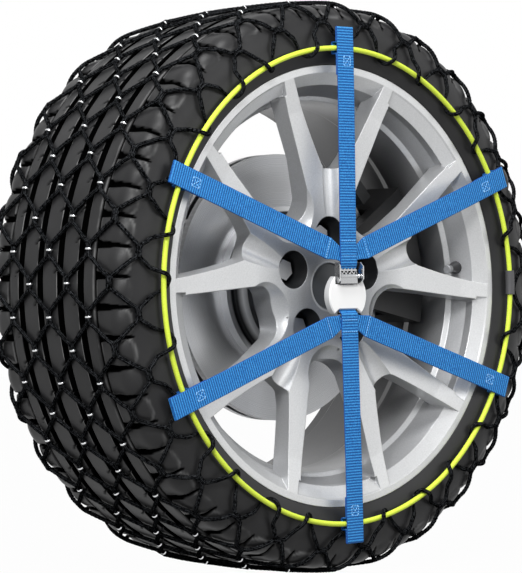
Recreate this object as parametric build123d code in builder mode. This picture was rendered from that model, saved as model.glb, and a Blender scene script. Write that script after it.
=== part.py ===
"""A road wheel with a composite net snow chain fitted over its tyre.

Millimetres. The origin is the centre of the wheel, +Y is the spin axis and points
inboard, towards the car, +Z is up. The chain's net lies over the tyre, an elastic
ring closes it on each side, six webbing straps hold the outer ring, and a cam
buckle on a round plate in the middle keeps them tight. The wheel turns on a
bearing in a hub carrier, which also holds a floating brake caliper.
"""
import os
from math import asin, cos, degrees, pi, radians, sin

from build123d import *

# ---------------------------------------------------------------- rim and tyre
FLANGE_R = 246.0            # outside of the rim flanges
RIM_WIDTH = 229.0           # over both flanges
BEAD_SEAT_R = 229.0
FLANGE_THICK = 11.0
RIM_WALL = 7.0
WELL_R = 209.0              # inside of the drop well
WELL_START = 40.0           # depths are measured inboard from the outer flange face
WELL_END = 98.0
LEDGE_R = 215.0             # inside of the barrel behind the well
LEDGE_START = 112.0
LEDGE_END = 190.0
SCOOP_R = 238.0             # outer edge of the dished face
SCOOP_BEND = (225.0, 12.0)  # radius and depth where the scoop turns gentle
SCOOP_END = (214.0, 36.0)

CROWN_R = 317.5             # tread surface on the centre line
SHOULDER_R = 314.6
SHOULDER_Y = 96.0
SHOULDER_MID = (310.3, 107.0)
SHOULDER_EDGE_R = 300.0
SHOULDER_EDGE_Y = 114.5
BULGE_R = 272.0             # widest ring of the sidewall
BULGE_Y = 120.5
TREAD_THICK = 13.5
SIDEWALL_THICK = 10.0
TYRE_GAP = 0.3              # between tyre and rim
BEAD_WIDTH = 16.0
BEAD_HEIGHT = 11.0
GROOVE_PITCH = 35.0
GROOVE_COUNT = 4
GROOVE_WIDTH = 7.0
GROOVE_DEPTH = 6.5

# ---------------------------------------------------------------- wheel face
CLOCKING = -1.6             # degrees: the first double spoke leans this much from the top
SPOKES = 5
HUB_FACE_DEPTH = 17.0
CREST_MID_R = 200.0
CREST_MID_DEPTH = 6.0
MOUNT_DEPTH = 70.0          # pad that bolts to the hub
PAD_R = 70.0
HUB_FACE_R = 75.0
SPOKE_BACK = [(226.0, 27.0), (150.0, 30.0), (105.0, 40.0), (80.0, 54.0)]
GAP_INNER_R = 79.0          # window between two double spokes
GAP_INNER_HALF = 28.7
GAP_OUTER_R = 224.0
GAP_OUTER_HALF = 15.0       # degrees
GAP_ROUND = 24.0
FORK_INNER_R = 130.0        # window inside a double spoke
FORK_INNER_HALF = 15.0
FORK_MID = (178.0, 44.0)
FORK_OUTER_R = 239.0
FORK_OUTER_HALF = 17.0      # degrees
FORK_ROUND = 12.0
CORNER_ROUND = 4.0
WINDOW_DRAFT = 5.0          # degrees
WINDOW_LEAD = 4.0           # cutters start this far in front of the flange face
RELIEF_DEPTH = 9.7
RELIEF_HALF = 15.5          # degrees
VALLEY_R = 17.0             # trough that runs up each double spoke to its fork
VALLEY_TILT = 3.5
VALLEY_START_R = 66.0
DISH_R = 46.0               # ball-shaped hollow between two double spokes
DISH_CENTRE_R = 98.0
DISH_CENTRE_DEPTH = -16.0

# ---------------------------------------------------------------- hub and bolts
BOLT_PCD = 114.3
BOLT_R = 7.0
BOLT_HEAD_R = 12.0
BOLT_HEAD_LENGTH = 14.0
BOLT_SEAT_DEPTH = 46.0
BOLT_THREAD_LENGTH = 18.0
POCKET_R = 15.5
POCKET_MOUTH_R = 22.0
POCKET_MOUTH_DEPTH = 15.0
POCKET_MOUTH = 18.0
HOLE_CLEARANCE = 0.5
THREAD_CLEARANCE = 0.05
PILOT_R = 33.3
PILOT_LENGTH = 9.0
PILOT_CLEARANCE = 0.1
PILOT_RELIEF = 6.0          # bore runs on past the pilot's end
FLANGE_PLATE_R = 69.0
FLANGE_PLATE_THICK = 11.0
SPINDLE_R = 19.0
SPINDLE_SHOULDER_R = 24.0
SHOULDER_LENGTH = 10.0
NUT_R = 24.0
NUT_THICK = 9.0
SPLINE_BORE_R = 13.0
CAP_R = 28.5
CAP_DEPTH = 19.0
CAP_THICK = 3.0
CAP_RING = 2.5
CAP_SKIRT = 9.0
CAP_SKIRT_R = 25.0
CAP_BORE_R = 25.1
CAP_CLEARANCE = 0.1

# ---------------------------------------------------------------- brake
DISC_R = 152.0
DISC_THICK = 24.0
DISC_CHEEK = 8.0
DISC_FRONT_DEPTH = 98.0
DISC_INNER_R = 95.0
HAT_R = 84.0
HAT_THICK = 7.0
HAT_LIP_R = 92.0
VANES = 24
VANE_THICK = 5.0
VANE_INSET = 1.0
BEARING_R = 37.0
BEARING_WIDTH = 36.0
BEARING_SPLIT_R = 28.0
BEARING_RUNNING = 0.05
CARRIER_GAP = 5.0           # air between the disc and the carrier
CARRIER_PLATE = 14.0
CARRIER_R = 74.0
CARRIER_WALL = 12.0
CARRIER_LIP_R = 32.0
AXLE_HOLE_SPACING = 84.0
AXLE_HOLE_R = 6.5
CALIPER_DEG = 11.0          # where the caliper sits, up from +X
EAR_DEG = 33.0
EAR_R = 128.0
EAR_ROUND = 15.0
EAR_HOLE_R = 5.0
BRACKET_THICK = 12.0
BRACKET_INNER_R = 155.5
BRACKET_OUTER_R = 171.0
BRACKET_LEG = (26.5, 39.5)  # degrees either side of the caliper
BRACKET_TIE_R = (76.0, 93.0)
BRACKET_FRONT = 88.0        # depth of the legs' front ends
PAD_ARC = 44.0
PAD_INNER_R = 104.0
PAD_OUTER_R = 150.0
PAD_LINING = 8.0
PAD_PLATE = 5.0
PAD_GAP = 0.3
FINGER_THICK = 16.0
CALIPER_OUTER_R = 199.0
CALIPER_INNER_R = 100.0
CALIPER_ARC = 48.0
HOUSING_PLATE = 16.0
HOUSING_BOSS_R = 32.0
HOUSING_BOSS = 36.0
CALIPER_EAR_DEG = 38.0
CALIPER_EAR_R = (150.0, 176.0)
CALIPER_EAR_THICK = 10.0
PISTON_R = 24.0
PISTON_CENTRE_R = 127.0
PISTON_CLEARANCE = 0.05
PISTON_LENGTH = 34.0
PIN_R = 6.0
PIN_CENTRE_R = 163.0
PIN_DEG = 33.0
PIN_BOOT_R = 8.5
BOOT_RIBS = 3

# ---------------------------------------------------------------- valve
VALVE_DEG = 5.0
VALVE_BASE_R = 7.5
VALVE_STEM_R = 4.2
VALVE_LENGTH = 22.0
VALVE_REACH = 18.2          # from the scoop out through the wall
VALVE_BULB = 4.0
VALVE_LIFT = 0.3            # rubber shoulder over the curved wall
VALVE_NECK_R = 5.7
VALVE_FIT = 0.05
VALVE_CAP_R = 5.0
VALVE_CAP_LENGTH = 9.0
VALVE_SEAT = (216.75, 30.0)  # radius and depth, on the scoop

# ---------------------------------------------------------------- chain
CELLS = 28                  # net cells round the tyre
ROPE = 4.2                  # rope thickness
ROPE_LIFT = 0.8             # rope's underside over the tyre, at its nodes
ROPE_GAP = 0.1
COLUMNS = [0.0, 33.0, 66.0, 100.0, 128.0]  # net nodes, along the tyre from its crown
SHOULDER_COLUMN = 3         # the tread net ends at this column, the side nets start
SHOULDER_BENDS = [107.0, 117.0]
NET_EDGE_GAP = 6.0          # from the ring cord to the net's last nodes
TIE_WALL = 1.8              # loops that tie the net to the ring
TIE_CLEARANCE = 0.1
TIE_SKIP = 5.0              # degrees: no tie this close to a strap
RING_R = 264.0
RING_CORD_R = 3.5
RING_Y = 126.2
JOINER_R = 5.3
JOINER_DEG = 0.0
JOINER_LENGTH = 28.0
JOINER_CLEARANCE = 0.05
WEB_WIDTH = 25.0
WEB_THICK = 1.6
WEB_GAP = 0.1
SIDE_ARM_DEG = 26.5         # side straps, up and down from the horizontal
ARM_AXIS_Z = (31.4, -35.6)  # where upper and lower side straps aim on the middle line
ARM_END = 8.0               # inner ends of the side straps, from the middle
ARM_END_LOW = 12.0
ARM_TAPER = (15.0, 30.0)    # they widen between these distances from the middle
ARM_NARROW = 16.0
JOIN_Y = -129.0             # middle straps where the side straps are sewn behind them
JOIN_REACH = 52.0
BEND_R = 0.9                # centre-line radius of the webbing's folds
LOOP_REACH = 18.0           # loop beyond the ring's centre line
LOOP_RETURN = 30.0          # length of the returned end, inside the ring
LOOP_SLACK = 2.0
WEB_LIFT = 0.3

# ---------------------------------------------------------------- buckle
PLATE_R = 28.4
PLATE_Z = -11.0
PLATE_FRONT_Y = -127.7
PLATE_THICK = 8.6
PLATE_WALL = 2.0
PLATE_ROUND = 1.2
PLATE_NOTCH_TOP = 2.0       # lower edge of the buckle's notch
PLATE_NOTCH_HALF = 18.3
PLATE_TAIL_Z = -26.0        # top of the bottom strap's notch
PLATE_TAIL_HALF = 13.5
PLATE_TAIL_FLARE = 19.5
POST_R = 1.6                # posts on the plate's back that hold the frame
POST_X = 8.0
POST_Z = -10.0
POST_LENGTH = 4.3
WASHER_R = 3.2
WASHER_THICK = 0.8
FRAME_HALF = 16.5
FRAME_SHEET = 1.5
FRAME_TOP = 26.0
FRAME_BOTTOM = -31.5
FRAME_TAIL_HALF = 14.5
FRAME_TAIL_Z = -22.0
FRAME_GAP = 0.05            # between the plate's wall and the frame's floor
LIP_HEIGHT = 1.5            # the floor's top edge, turned forward
LIP_REACH = 3.0
SLOT_TOP = -24.9            # slot for the bottom strap
SLOT_HEIGHT = 4.8
CHEEK_BOTTOM = 3.0
LEFT_CHEEK_Y = -132.2       # front edges of the cheeks
RIGHT_CHEEK_Y = -136.5
CHEEK_CORNER = 4.5
CAM_PIN_Z = 10.5
CAM_PIN_Y = -130.3
CAM_PIN_R = 1.2
CAM_RUNNING = 0.05
KNUCKLE_R = 2.2
CAM_THICK = 1.5
CAM_TOP_Z = 18.0            # toothed edge of the cam
CAM_TOP_Y = -129.8
CAM_TEETH = 5
TOOTH_HALF = 1.6
TOOTH_SIDE = 2.4
CAM_WINDOW_HALF = 1.4       # three-cornered openings in the cam
CAM_SIDE_GAP = 0.4
TAB_BOTTOM_Z = 2.5          # finger tab
TAB_Y = -131.0
SPRING_R = 2.0
SPRING_WIRE_R = 0.4
SPRING_LENGTH = 3.6
MOUTH_Y = -129.6            # webbing over the lip
TOP_END = 8.0               # inner end of the top strap, up from the middle
BOTTOM_END = 6.0            # inner end of the bottom strap, down from the middle

OUTER_FACE = -RIM_WIDTH / 2
WINDOW_PITCH = 360.0 / SPOKES
TOP_SPOKE = 90.0 + CLOCKING
CELL_PITCH = 360.0 / CELLS


def depth(distance):
    """Y of a point this far inboard of the outer rim flange."""
    return OUTER_FACE + distance


def face_plane(distance, angle=0.0):
    """Plane across the axis at a depth: x points out along the angle, normal inboard."""
    out = (cos(radians(angle)), 0, sin(radians(angle)))
    return Plane(origin=(0, depth(distance), 0), x_dir=out, z_dir=(0, 1, 0))


def axial_plane(y):
    """Plane across the axis seen from outboard: x right, y up, normal outboard."""
    return Plane(origin=(0, y, 0), x_dir=(1, 0, 0), z_dir=(0, -1, 0))


def turned(part, angle):
    """The part turned about the wheel's axis, from +X towards +Z."""
    return part.rotate(Axis.Y, -angle)


def save(part, label):
    """Name a finished piece and write it."""
    part.label = label
    export_step(part, f"parts/{label}.step")
    return part


os.makedirs("parts", exist_ok=True)



def polar(radius, angle):
    """Place at a radius and angle in a sketch."""
    return Location((0, 0, 0), (0, 0, angle)) * Location((radius, 0, 0))


def valve_plane():
    """Plane on the scoop at the valve: its normal points outboard, to the axis."""
    angle = radians(VALVE_DEG)
    radius, seat = VALVE_SEAT
    fall = SCOOP_BEND[0] - SCOOP_END[0]
    run = SCOOP_END[1] - SCOOP_BEND[1]
    length = (fall ** 2 + run ** 2) ** 0.5
    inward = -run / length
    normal = (inward * cos(angle), -fall / length, inward * sin(angle))
    return Plane(origin=(radius * cos(angle), depth(seat), radius * sin(angle)),
                 z_dir=normal)


def caliper_plane(distance):
    """Plane across the axis at a depth, with x towards the caliper."""
    return face_plane(distance, CALIPER_DEG)


# ================================================================= alloy wheel
# Windows are drafted prisms, cut inboard from in front of the crest.
gap_tip = (GAP_OUTER_R * cos(radians(GAP_OUTER_HALF)),
           GAP_OUTER_R * sin(radians(GAP_OUTER_HALF)))
fork_tip = (FORK_OUTER_R * cos(radians(FORK_OUTER_HALF)),
            FORK_OUTER_R * sin(radians(FORK_OUTER_HALF)))

with BuildPart() as gap_window:
    with BuildSketch(face_plane(-WINDOW_LEAD)) as gap_shape:
        with BuildLine():
            Polyline(gap_tip, (GAP_INNER_R, GAP_INNER_HALF),
                     (GAP_INNER_R, -GAP_INNER_HALF), (gap_tip[0], -gap_tip[1]))
            ThreePointArc((gap_tip[0], -gap_tip[1]), (GAP_OUTER_R, 0), gap_tip)
        make_face()
        fillet(gap_shape.vertices().sort_by(Axis.X)[:2], GAP_ROUND)
        fillet(gap_shape.vertices().sort_by(Axis.X)[-2:], CORNER_ROUND)
    extrude(amount=MOUNT_DEPTH + WINDOW_LEAD, taper=WINDOW_DRAFT)

with BuildPart() as fork_window:
    with BuildSketch(face_plane(-WINDOW_LEAD)) as fork_shape:
        with BuildLine():
            ThreePointArc((fork_tip[0], fork_tip[1]), FORK_MID,
                          (FORK_INNER_R, FORK_INNER_HALF))
            Line((FORK_INNER_R, FORK_INNER_HALF), (FORK_INNER_R, -FORK_INNER_HALF))
            ThreePointArc((FORK_INNER_R, -FORK_INNER_HALF), (FORK_MID[0], -FORK_MID[1]),
                          (fork_tip[0], -fork_tip[1]))
            ThreePointArc((fork_tip[0], -fork_tip[1]), (FORK_OUTER_R, 0), fork_tip)
        make_face()
        fillet(fork_shape.vertices().sort_by(Axis.X)[:2], FORK_ROUND)
    extrude(amount=MOUNT_DEPTH + WINDOW_LEAD, taper=WINDOW_DRAFT)

# Rim face between two double spokes: a shallow cone from the lip to the window.
with BuildPart() as face_relief:
    with BuildSketch(Plane.XY):
        with BuildLine():
            Polyline((SCOOP_R + 1, depth(0)), (GAP_OUTER_R - 2, depth(RELIEF_DEPTH)),
                     (GAP_OUTER_R - 2, depth(-WINDOW_LEAD)),
                     (SCOOP_R + 1, depth(-WINDOW_LEAD)), close=True)
        make_face()
    revolve(axis=Axis.Y, revolution_arc=2 * RELIEF_HALF)

# Trough that runs out along a double spoke and deepens towards its fork.
trough_start = (VALLEY_START_R, depth(HUB_FACE_DEPTH) - VALLEY_R)
trough_dir = (cos(radians(VALLEY_TILT)), sin(radians(VALLEY_TILT)), 0)
with BuildPart() as trough:
    with BuildSketch(Plane(origin=(*trough_start, 0), z_dir=trough_dir)):
        Circle(VALLEY_R)
    extrude(amount=FORK_INNER_R)

with BuildPart() as alloy_wheel:
    with BuildSketch(Plane.XY):
        with BuildLine():
            Polyline((0, depth(HUB_FACE_DEPTH)), (HUB_FACE_R, depth(HUB_FACE_DEPTH)),
                     (CREST_MID_R, depth(CREST_MID_DEPTH)), (SCOOP_R, depth(0)),
                     (BEAD_SEAT_R - 1, depth(FLANGE_THICK)),
                     *[(r, depth(d)) for r, d in SPOKE_BACK],
                     (PAD_R, depth(MOUNT_DEPTH - 8)), (PAD_R, depth(MOUNT_DEPTH)),
                     (0, depth(MOUNT_DEPTH)), close=True)
        make_face()
    revolve(axis=Axis.Y)
    for spoke in range(SPOKES):
        on_spoke = TOP_SPOKE + spoke * WINDOW_PITCH
        between = on_spoke + WINDOW_PITCH / 2
        add(turned(fork_window.part, on_spoke), mode=Mode.SUBTRACT)
        add(turned(trough.part, on_spoke), mode=Mode.SUBTRACT)
        add(turned(gap_window.part, between), mode=Mode.SUBTRACT)
        add(turned(face_relief.part, between + RELIEF_HALF), mode=Mode.SUBTRACT)
        with Locations(face_plane(DISH_CENTRE_DEPTH, between).location
                       * Location((DISH_CENTRE_R, 0, 0))):
            Sphere(DISH_R, mode=Mode.SUBTRACT)
    # Rim: flanges, bead seats, drop well and ledge.
    with BuildSketch(Plane.XY):
        with BuildLine():
            Polyline((SCOOP_R, depth(0)), (FLANGE_R, depth(0)),
                     (FLANGE_R, depth(FLANGE_THICK)), (BEAD_SEAT_R, depth(FLANGE_THICK)),
                     (BEAD_SEAT_R, depth(WELL_START - 6)),
                     (WELL_R + RIM_WALL, depth(WELL_START + 6)),
                     (WELL_R + RIM_WALL, depth(WELL_END - 4)),
                     (LEDGE_R + RIM_WALL, depth(LEDGE_START - 2)),
                     (LEDGE_R + RIM_WALL, depth(LEDGE_END - 4)),
                     (BEAD_SEAT_R, depth(LEDGE_END + 6)),
                     (BEAD_SEAT_R, depth(RIM_WIDTH - FLANGE_THICK)),
                     (FLANGE_R, depth(RIM_WIDTH - FLANGE_THICK)),
                     (FLANGE_R, depth(RIM_WIDTH)),
                     (FLANGE_R - 8, depth(RIM_WIDTH)),
                     (BEAD_SEAT_R - RIM_WALL, depth(RIM_WIDTH - FLANGE_THICK - 4)),
                     (BEAD_SEAT_R - RIM_WALL, depth(LEDGE_END + 10)),
                     (LEDGE_R, depth(LEDGE_END)), (LEDGE_R, depth(LEDGE_START)),
                     (WELL_R, depth(WELL_END)), (WELL_R, depth(WELL_START)),
                     (SCOOP_END[0], depth(SCOOP_END[1])),
                     (SCOOP_BEND[0], depth(SCOOP_BEND[1])), close=True)
        make_face()
    revolve(axis=Axis.Y)
    # Hub bore: cap seat in front, pilot bore behind, a web with a hole between.
    with BuildSketch(face_plane(MOUNT_DEPTH)):
        Circle(PILOT_R + PILOT_CLEARANCE)
    extrude(amount=-PILOT_LENGTH - PILOT_RELIEF, mode=Mode.SUBTRACT)
    with BuildSketch(face_plane(HUB_FACE_DEPTH)):
        Circle(CAP_R + CAP_CLEARANCE)
    extrude(amount=CAP_THICK, mode=Mode.SUBTRACT)
    with BuildSketch(face_plane(HUB_FACE_DEPTH)):
        Circle(CAP_BORE_R)
    extrude(amount=MOUNT_DEPTH, mode=Mode.SUBTRACT)
    # Bolt holes with deep drafted pockets.
    with Locations(face_plane(0, TOP_SPOKE).location):
        with PolarLocations(BOLT_PCD / 2, SPOKES):
            with Locations((0, 0, MOUNT_DEPTH / 2)):
                Cylinder(BOLT_R + HOLE_CLEARANCE, 2 * MOUNT_DEPTH, mode=Mode.SUBTRACT)
            with Locations((0, 0, BOLT_SEAT_DEPTH / 2)):
                Cylinder(POCKET_R, BOLT_SEAT_DEPTH, mode=Mode.SUBTRACT)
            with Locations((0, 0, POCKET_MOUTH_DEPTH + POCKET_MOUTH / 2)):
                Cone(POCKET_MOUTH_R, POCKET_R, POCKET_MOUTH, mode=Mode.SUBTRACT)
            with Locations((0, 0, POCKET_MOUTH_DEPTH / 2)):
                Cylinder(POCKET_MOUTH_R, POCKET_MOUTH_DEPTH, mode=Mode.SUBTRACT)
    # Valve hole, square to the gentle part of the scoop.
    with Locations(valve_plane().location):
        Cylinder(VALVE_NECK_R + VALVE_FIT, 2 * VALVE_REACH, mode=Mode.SUBTRACT)
save(alloy_wheel.part, "alloy_wheel")

# ================================================================== small wheel parts
with BuildPart() as centre_cap:
    with BuildSketch(Plane.XY):
        with BuildLine():
            Polyline((0, depth(CAP_DEPTH)), (CAP_R - CAP_RING - 1, depth(CAP_DEPTH)),
                     (CAP_R - CAP_RING, depth(HUB_FACE_DEPTH)),
                     (CAP_R, depth(HUB_FACE_DEPTH)),
                     (CAP_R, depth(HUB_FACE_DEPTH + CAP_THICK)),
                     (CAP_SKIRT_R, depth(HUB_FACE_DEPTH + CAP_THICK)),
                     (CAP_SKIRT_R, depth(CAP_DEPTH + CAP_SKIRT)),
                     (CAP_SKIRT_R - 2, depth(CAP_DEPTH + CAP_SKIRT)),
                     (CAP_SKIRT_R - 2, depth(CAP_DEPTH + CAP_THICK)),
                     (0, depth(CAP_DEPTH + CAP_THICK)), close=True)
        make_face()
    revolve(axis=Axis.Y)
save(centre_cap.part, "centre_cap")

with BuildPart() as wheel_bolts:
    for bolt in range(SPOKES):
        angle = TOP_SPOKE + bolt * WINDOW_PITCH
        seat = Location((BOLT_PCD / 2, 0, 0))
        head_plane = Plane(face_plane(BOLT_SEAT_DEPTH, angle).location * seat)
        with BuildSketch(head_plane):
            RegularPolygon(BOLT_HEAD_R, 6)
        extrude(amount=-BOLT_HEAD_LENGTH)
        with BuildSketch(head_plane):
            Circle(BOLT_R)
        extrude(amount=MOUNT_DEPTH + HAT_THICK + FLANGE_PLATE_THICK - BOLT_SEAT_DEPTH)
save(wheel_bolts.part, "wheel_bolts")

with BuildPart() as valve_stem:
    with Locations(valve_plane().location):
        with Locations((0, 0, (VALVE_LIFT - VALVE_REACH) / 2)):
            Cylinder(VALVE_NECK_R, VALVE_REACH + VALVE_LIFT)
        with Locations((0, 0, -VALVE_REACH - VALVE_BULB / 2)):
            Cylinder(VALVE_BASE_R, VALVE_BULB)
        with Locations((0, 0, VALVE_LIFT + VALVE_LENGTH / 2)):
            Cone(VALVE_BASE_R, VALVE_STEM_R, VALVE_LENGTH)
save(valve_stem.part, "valve_stem")

with BuildPart() as valve_cap:
    with Locations(valve_plane().location * Location((0, 0, VALVE_LIFT + VALVE_LENGTH))):
        with Locations((0, 0, VALVE_CAP_LENGTH / 2)):
            Cylinder(VALVE_CAP_R, VALVE_CAP_LENGTH)
    fillet(valve_cap.edges().filter_by(GeomType.CIRCLE).sort_by_distance((0, 0, 0))[0], 1)
save(valve_cap.part, "valve_cap")

# ======================================================================== tyre
bead_y = RIM_WIDTH / 2 - FLANGE_THICK - TYRE_GAP
with BuildLine() as tread_line:      # crown, shoulder and sidewall down to the ring
    ThreePointArc((CROWN_R, 0), (CROWN_R - (CROWN_R - SHOULDER_R) / 4, SHOULDER_Y / 2),
                  (SHOULDER_R, SHOULDER_Y))
    ThreePointArc((SHOULDER_R, SHOULDER_Y), SHOULDER_MID,
                  (SHOULDER_EDGE_R, SHOULDER_EDGE_Y))
    ThreePointArc((SHOULDER_EDGE_R, SHOULDER_EDGE_Y), (BULGE_R, BULGE_Y),
                  (FLANGE_R + TYRE_GAP, RIM_WIDTH / 2))

with BuildPart() as tyre:
    with BuildSketch(Plane.XY):
        with BuildLine():
            add(tread_line.line)
            Polyline((FLANGE_R + TYRE_GAP, RIM_WIDTH / 2),
                     (FLANGE_R + TYRE_GAP, bead_y), (BEAD_SEAT_R + TYRE_GAP, bead_y),
                     (BEAD_SEAT_R + TYRE_GAP, bead_y - BEAD_WIDTH),
                     (BEAD_SEAT_R + BEAD_HEIGHT, bead_y - BEAD_WIDTH))
            ThreePointArc((BEAD_SEAT_R + BEAD_HEIGHT, bead_y - BEAD_WIDTH),
                          (BULGE_R, BULGE_Y - SIDEWALL_THICK),
                          (SHOULDER_EDGE_R - 2, SHOULDER_Y))
            ThreePointArc((SHOULDER_EDGE_R - 2, SHOULDER_Y),
                          (CROWN_R - TREAD_THICK - 1, SHOULDER_Y / 2),
                          (CROWN_R - TREAD_THICK, 0))
            Line((CROWN_R - TREAD_THICK, 0), (CROWN_R, 0))
        make_face()
        mirror(about=Plane.XZ)
    revolve(axis=Axis.Y)
    with BuildSketch(Plane.XY):
        for groove in range(GROOVE_COUNT):
            groove_y = (groove - (GROOVE_COUNT - 1) / 2) * GROOVE_PITCH
            with Locations((CROWN_R, groove_y)):
                Rectangle(2 * GROOVE_DEPTH, GROOVE_WIDTH)
    revolve(axis=Axis.Y, mode=Mode.SUBTRACT)
save(tyre.part, "tyre")

# ======================================================================== brake
with BuildPart() as brake_disc:
    with BuildSketch(Plane.XY):
        with BuildLine():
            Polyline((PILOT_R + PILOT_CLEARANCE, depth(MOUNT_DEPTH)),
                     (HAT_R - 8, depth(MOUNT_DEPTH)), (HAT_R, depth(MOUNT_DEPTH + 12)),
                     (HAT_R, depth(MOUNT_DEPTH + 16)),
                     (HAT_LIP_R, depth(MOUNT_DEPTH + 17)),
                     (HAT_LIP_R, depth(DISC_FRONT_DEPTH)),
                     (DISC_R, depth(DISC_FRONT_DEPTH)),
                     (DISC_R, depth(DISC_FRONT_DEPTH + DISC_CHEEK)),
                     (HAT_R - 2, depth(DISC_FRONT_DEPTH + DISC_CHEEK)),
                     (HAT_R - HAT_THICK, depth(DISC_FRONT_DEPTH)),
                     (HAT_R - HAT_THICK - 8, depth(MOUNT_DEPTH + HAT_THICK)),
                     (PILOT_R + PILOT_CLEARANCE, depth(MOUNT_DEPTH + HAT_THICK)),
                     close=True)
        make_face()
    revolve(axis=Axis.Y)
    with BuildSketch(face_plane(DISC_FRONT_DEPTH + DISC_THICK)):
        Circle(DISC_R)
        Circle(DISC_INNER_R, mode=Mode.SUBTRACT)
    extrude(amount=-DISC_CHEEK)
    vane_length = DISC_R - DISC_INNER_R - 2 * VANE_INSET
    with BuildSketch(face_plane(DISC_FRONT_DEPTH + DISC_CHEEK)):
        with PolarLocations((DISC_R + DISC_INNER_R) / 2, VANES):
            Rectangle(vane_length, VANE_THICK)
    extrude(amount=DISC_THICK - 2 * DISC_CHEEK)
    with BuildSketch(face_plane(MOUNT_DEPTH, TOP_SPOKE)):
        with PolarLocations(BOLT_PCD / 2, SPOKES):
            Circle(BOLT_R + HOLE_CLEARANCE)
    extrude(amount=HAT_THICK, mode=Mode.SUBTRACT)
save(brake_disc.part, "brake_disc")

HUB_FLANGE_DEPTH = MOUNT_DEPTH + HAT_THICK
BEARING_DEPTH = HUB_FLANGE_DEPTH + FLANGE_PLATE_THICK + SHOULDER_LENGTH
BEARING_END = BEARING_DEPTH + BEARING_WIDTH
with BuildPart() as hub_flange:
    with BuildSketch(Plane.XY):
        with BuildLine():
            Polyline((SPLINE_BORE_R, depth(MOUNT_DEPTH - PILOT_LENGTH)),
                     (PILOT_R, depth(MOUNT_DEPTH - PILOT_LENGTH)),
                     (PILOT_R, depth(HUB_FLANGE_DEPTH)),
                     (FLANGE_PLATE_R, depth(HUB_FLANGE_DEPTH)),
                     (FLANGE_PLATE_R, depth(HUB_FLANGE_DEPTH + FLANGE_PLATE_THICK)),
                     (SPINDLE_SHOULDER_R, depth(HUB_FLANGE_DEPTH + FLANGE_PLATE_THICK)),
                     (SPINDLE_SHOULDER_R, depth(BEARING_DEPTH)),
                     (SPINDLE_R, depth(BEARING_DEPTH)),
                     (SPINDLE_R, depth(BEARING_END + NUT_THICK)),
                     (SPLINE_BORE_R, depth(BEARING_END + NUT_THICK)), close=True)
        make_face()
    revolve(axis=Axis.Y)
    with BuildSketch(face_plane(HUB_FLANGE_DEPTH, TOP_SPOKE)):
        with PolarLocations(BOLT_PCD / 2, SPOKES):
            Circle(BOLT_R + THREAD_CLEARANCE)
    extrude(amount=FLANGE_PLATE_THICK, mode=Mode.SUBTRACT)
save(hub_flange.part, "hub_flange")

with BuildPart() as bearing_inner_ring:
    with BuildSketch(face_plane(BEARING_DEPTH)):
        Circle(BEARING_SPLIT_R)
        Circle(SPINDLE_R, mode=Mode.SUBTRACT)
    extrude(amount=BEARING_WIDTH)
save(bearing_inner_ring.part, "bearing_inner_ring")

with BuildPart() as bearing_outer_ring:
    with BuildSketch(face_plane(BEARING_DEPTH)):
        Circle(BEARING_R)
        Circle(BEARING_SPLIT_R + BEARING_RUNNING, mode=Mode.SUBTRACT)
    extrude(amount=BEARING_WIDTH)
save(bearing_outer_ring.part, "bearing_outer_ring")

with BuildPart() as hub_nut:
    with BuildSketch(face_plane(BEARING_END)):
        RegularPolygon(NUT_R, 6)
        Circle(SPINDLE_R, mode=Mode.SUBTRACT)
    extrude(amount=NUT_THICK)
save(hub_nut.part, "hub_nut")

CARRIER_DEPTH = DISC_FRONT_DEPTH + DISC_THICK + CARRIER_GAP
CARRIER_BACK = CARRIER_DEPTH + CARRIER_PLATE
with BuildPart() as hub_carrier:
    with BuildSketch(caliper_plane(CARRIER_DEPTH)):
        Circle(CARRIER_R)
        for side in (-1, 1):
            with Locations(polar(EAR_R / 2, side * EAR_DEG)):
                SlotCenterToCenter(EAR_R, 2 * EAR_ROUND)
            with Locations(polar(EAR_R, side * EAR_DEG)):
                Circle(EAR_HOLE_R, mode=Mode.SUBTRACT)
    extrude(amount=CARRIER_PLATE)
    with BuildSketch(face_plane(CARRIER_DEPTH)):
        with GridLocations(AXLE_HOLE_SPACING, AXLE_HOLE_SPACING, 2, 2):
            Circle(AXLE_HOLE_R)
    extrude(amount=CARRIER_PLATE, mode=Mode.SUBTRACT)
    with BuildSketch(face_plane(BEARING_DEPTH)):
        Circle(BEARING_R + CARRIER_WALL)
    extrude(amount=CARRIER_DEPTH - BEARING_DEPTH)
    with BuildSketch(face_plane(BEARING_DEPTH)):
        Circle(BEARING_R)
    extrude(amount=BEARING_WIDTH, mode=Mode.SUBTRACT)
    with BuildSketch(face_plane(BEARING_DEPTH)):
        Circle(CARRIER_LIP_R)
    extrude(amount=CARRIER_BACK - BEARING_DEPTH, mode=Mode.SUBTRACT)
save(hub_carrier.part, "hub_carrier")


def sector(inner, outer, start, end):
    """Outline of a ring sector, in degrees round from the caliper's centre line."""
    def at(radius, angle):
        return (radius * cos(radians(angle)), radius * sin(radians(angle)))
    middle = (start + end) / 2
    with BuildSketch() as shape:
        with BuildLine():
            Line(at(inner, start), at(outer, start))
            ThreePointArc(at(outer, start), at(outer, middle), at(outer, end))
            Line(at(outer, end), at(inner, end))
            ThreePointArc(at(inner, end), at(inner, middle), at(inner, start))
        make_face()
    return shape.sketch


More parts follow.
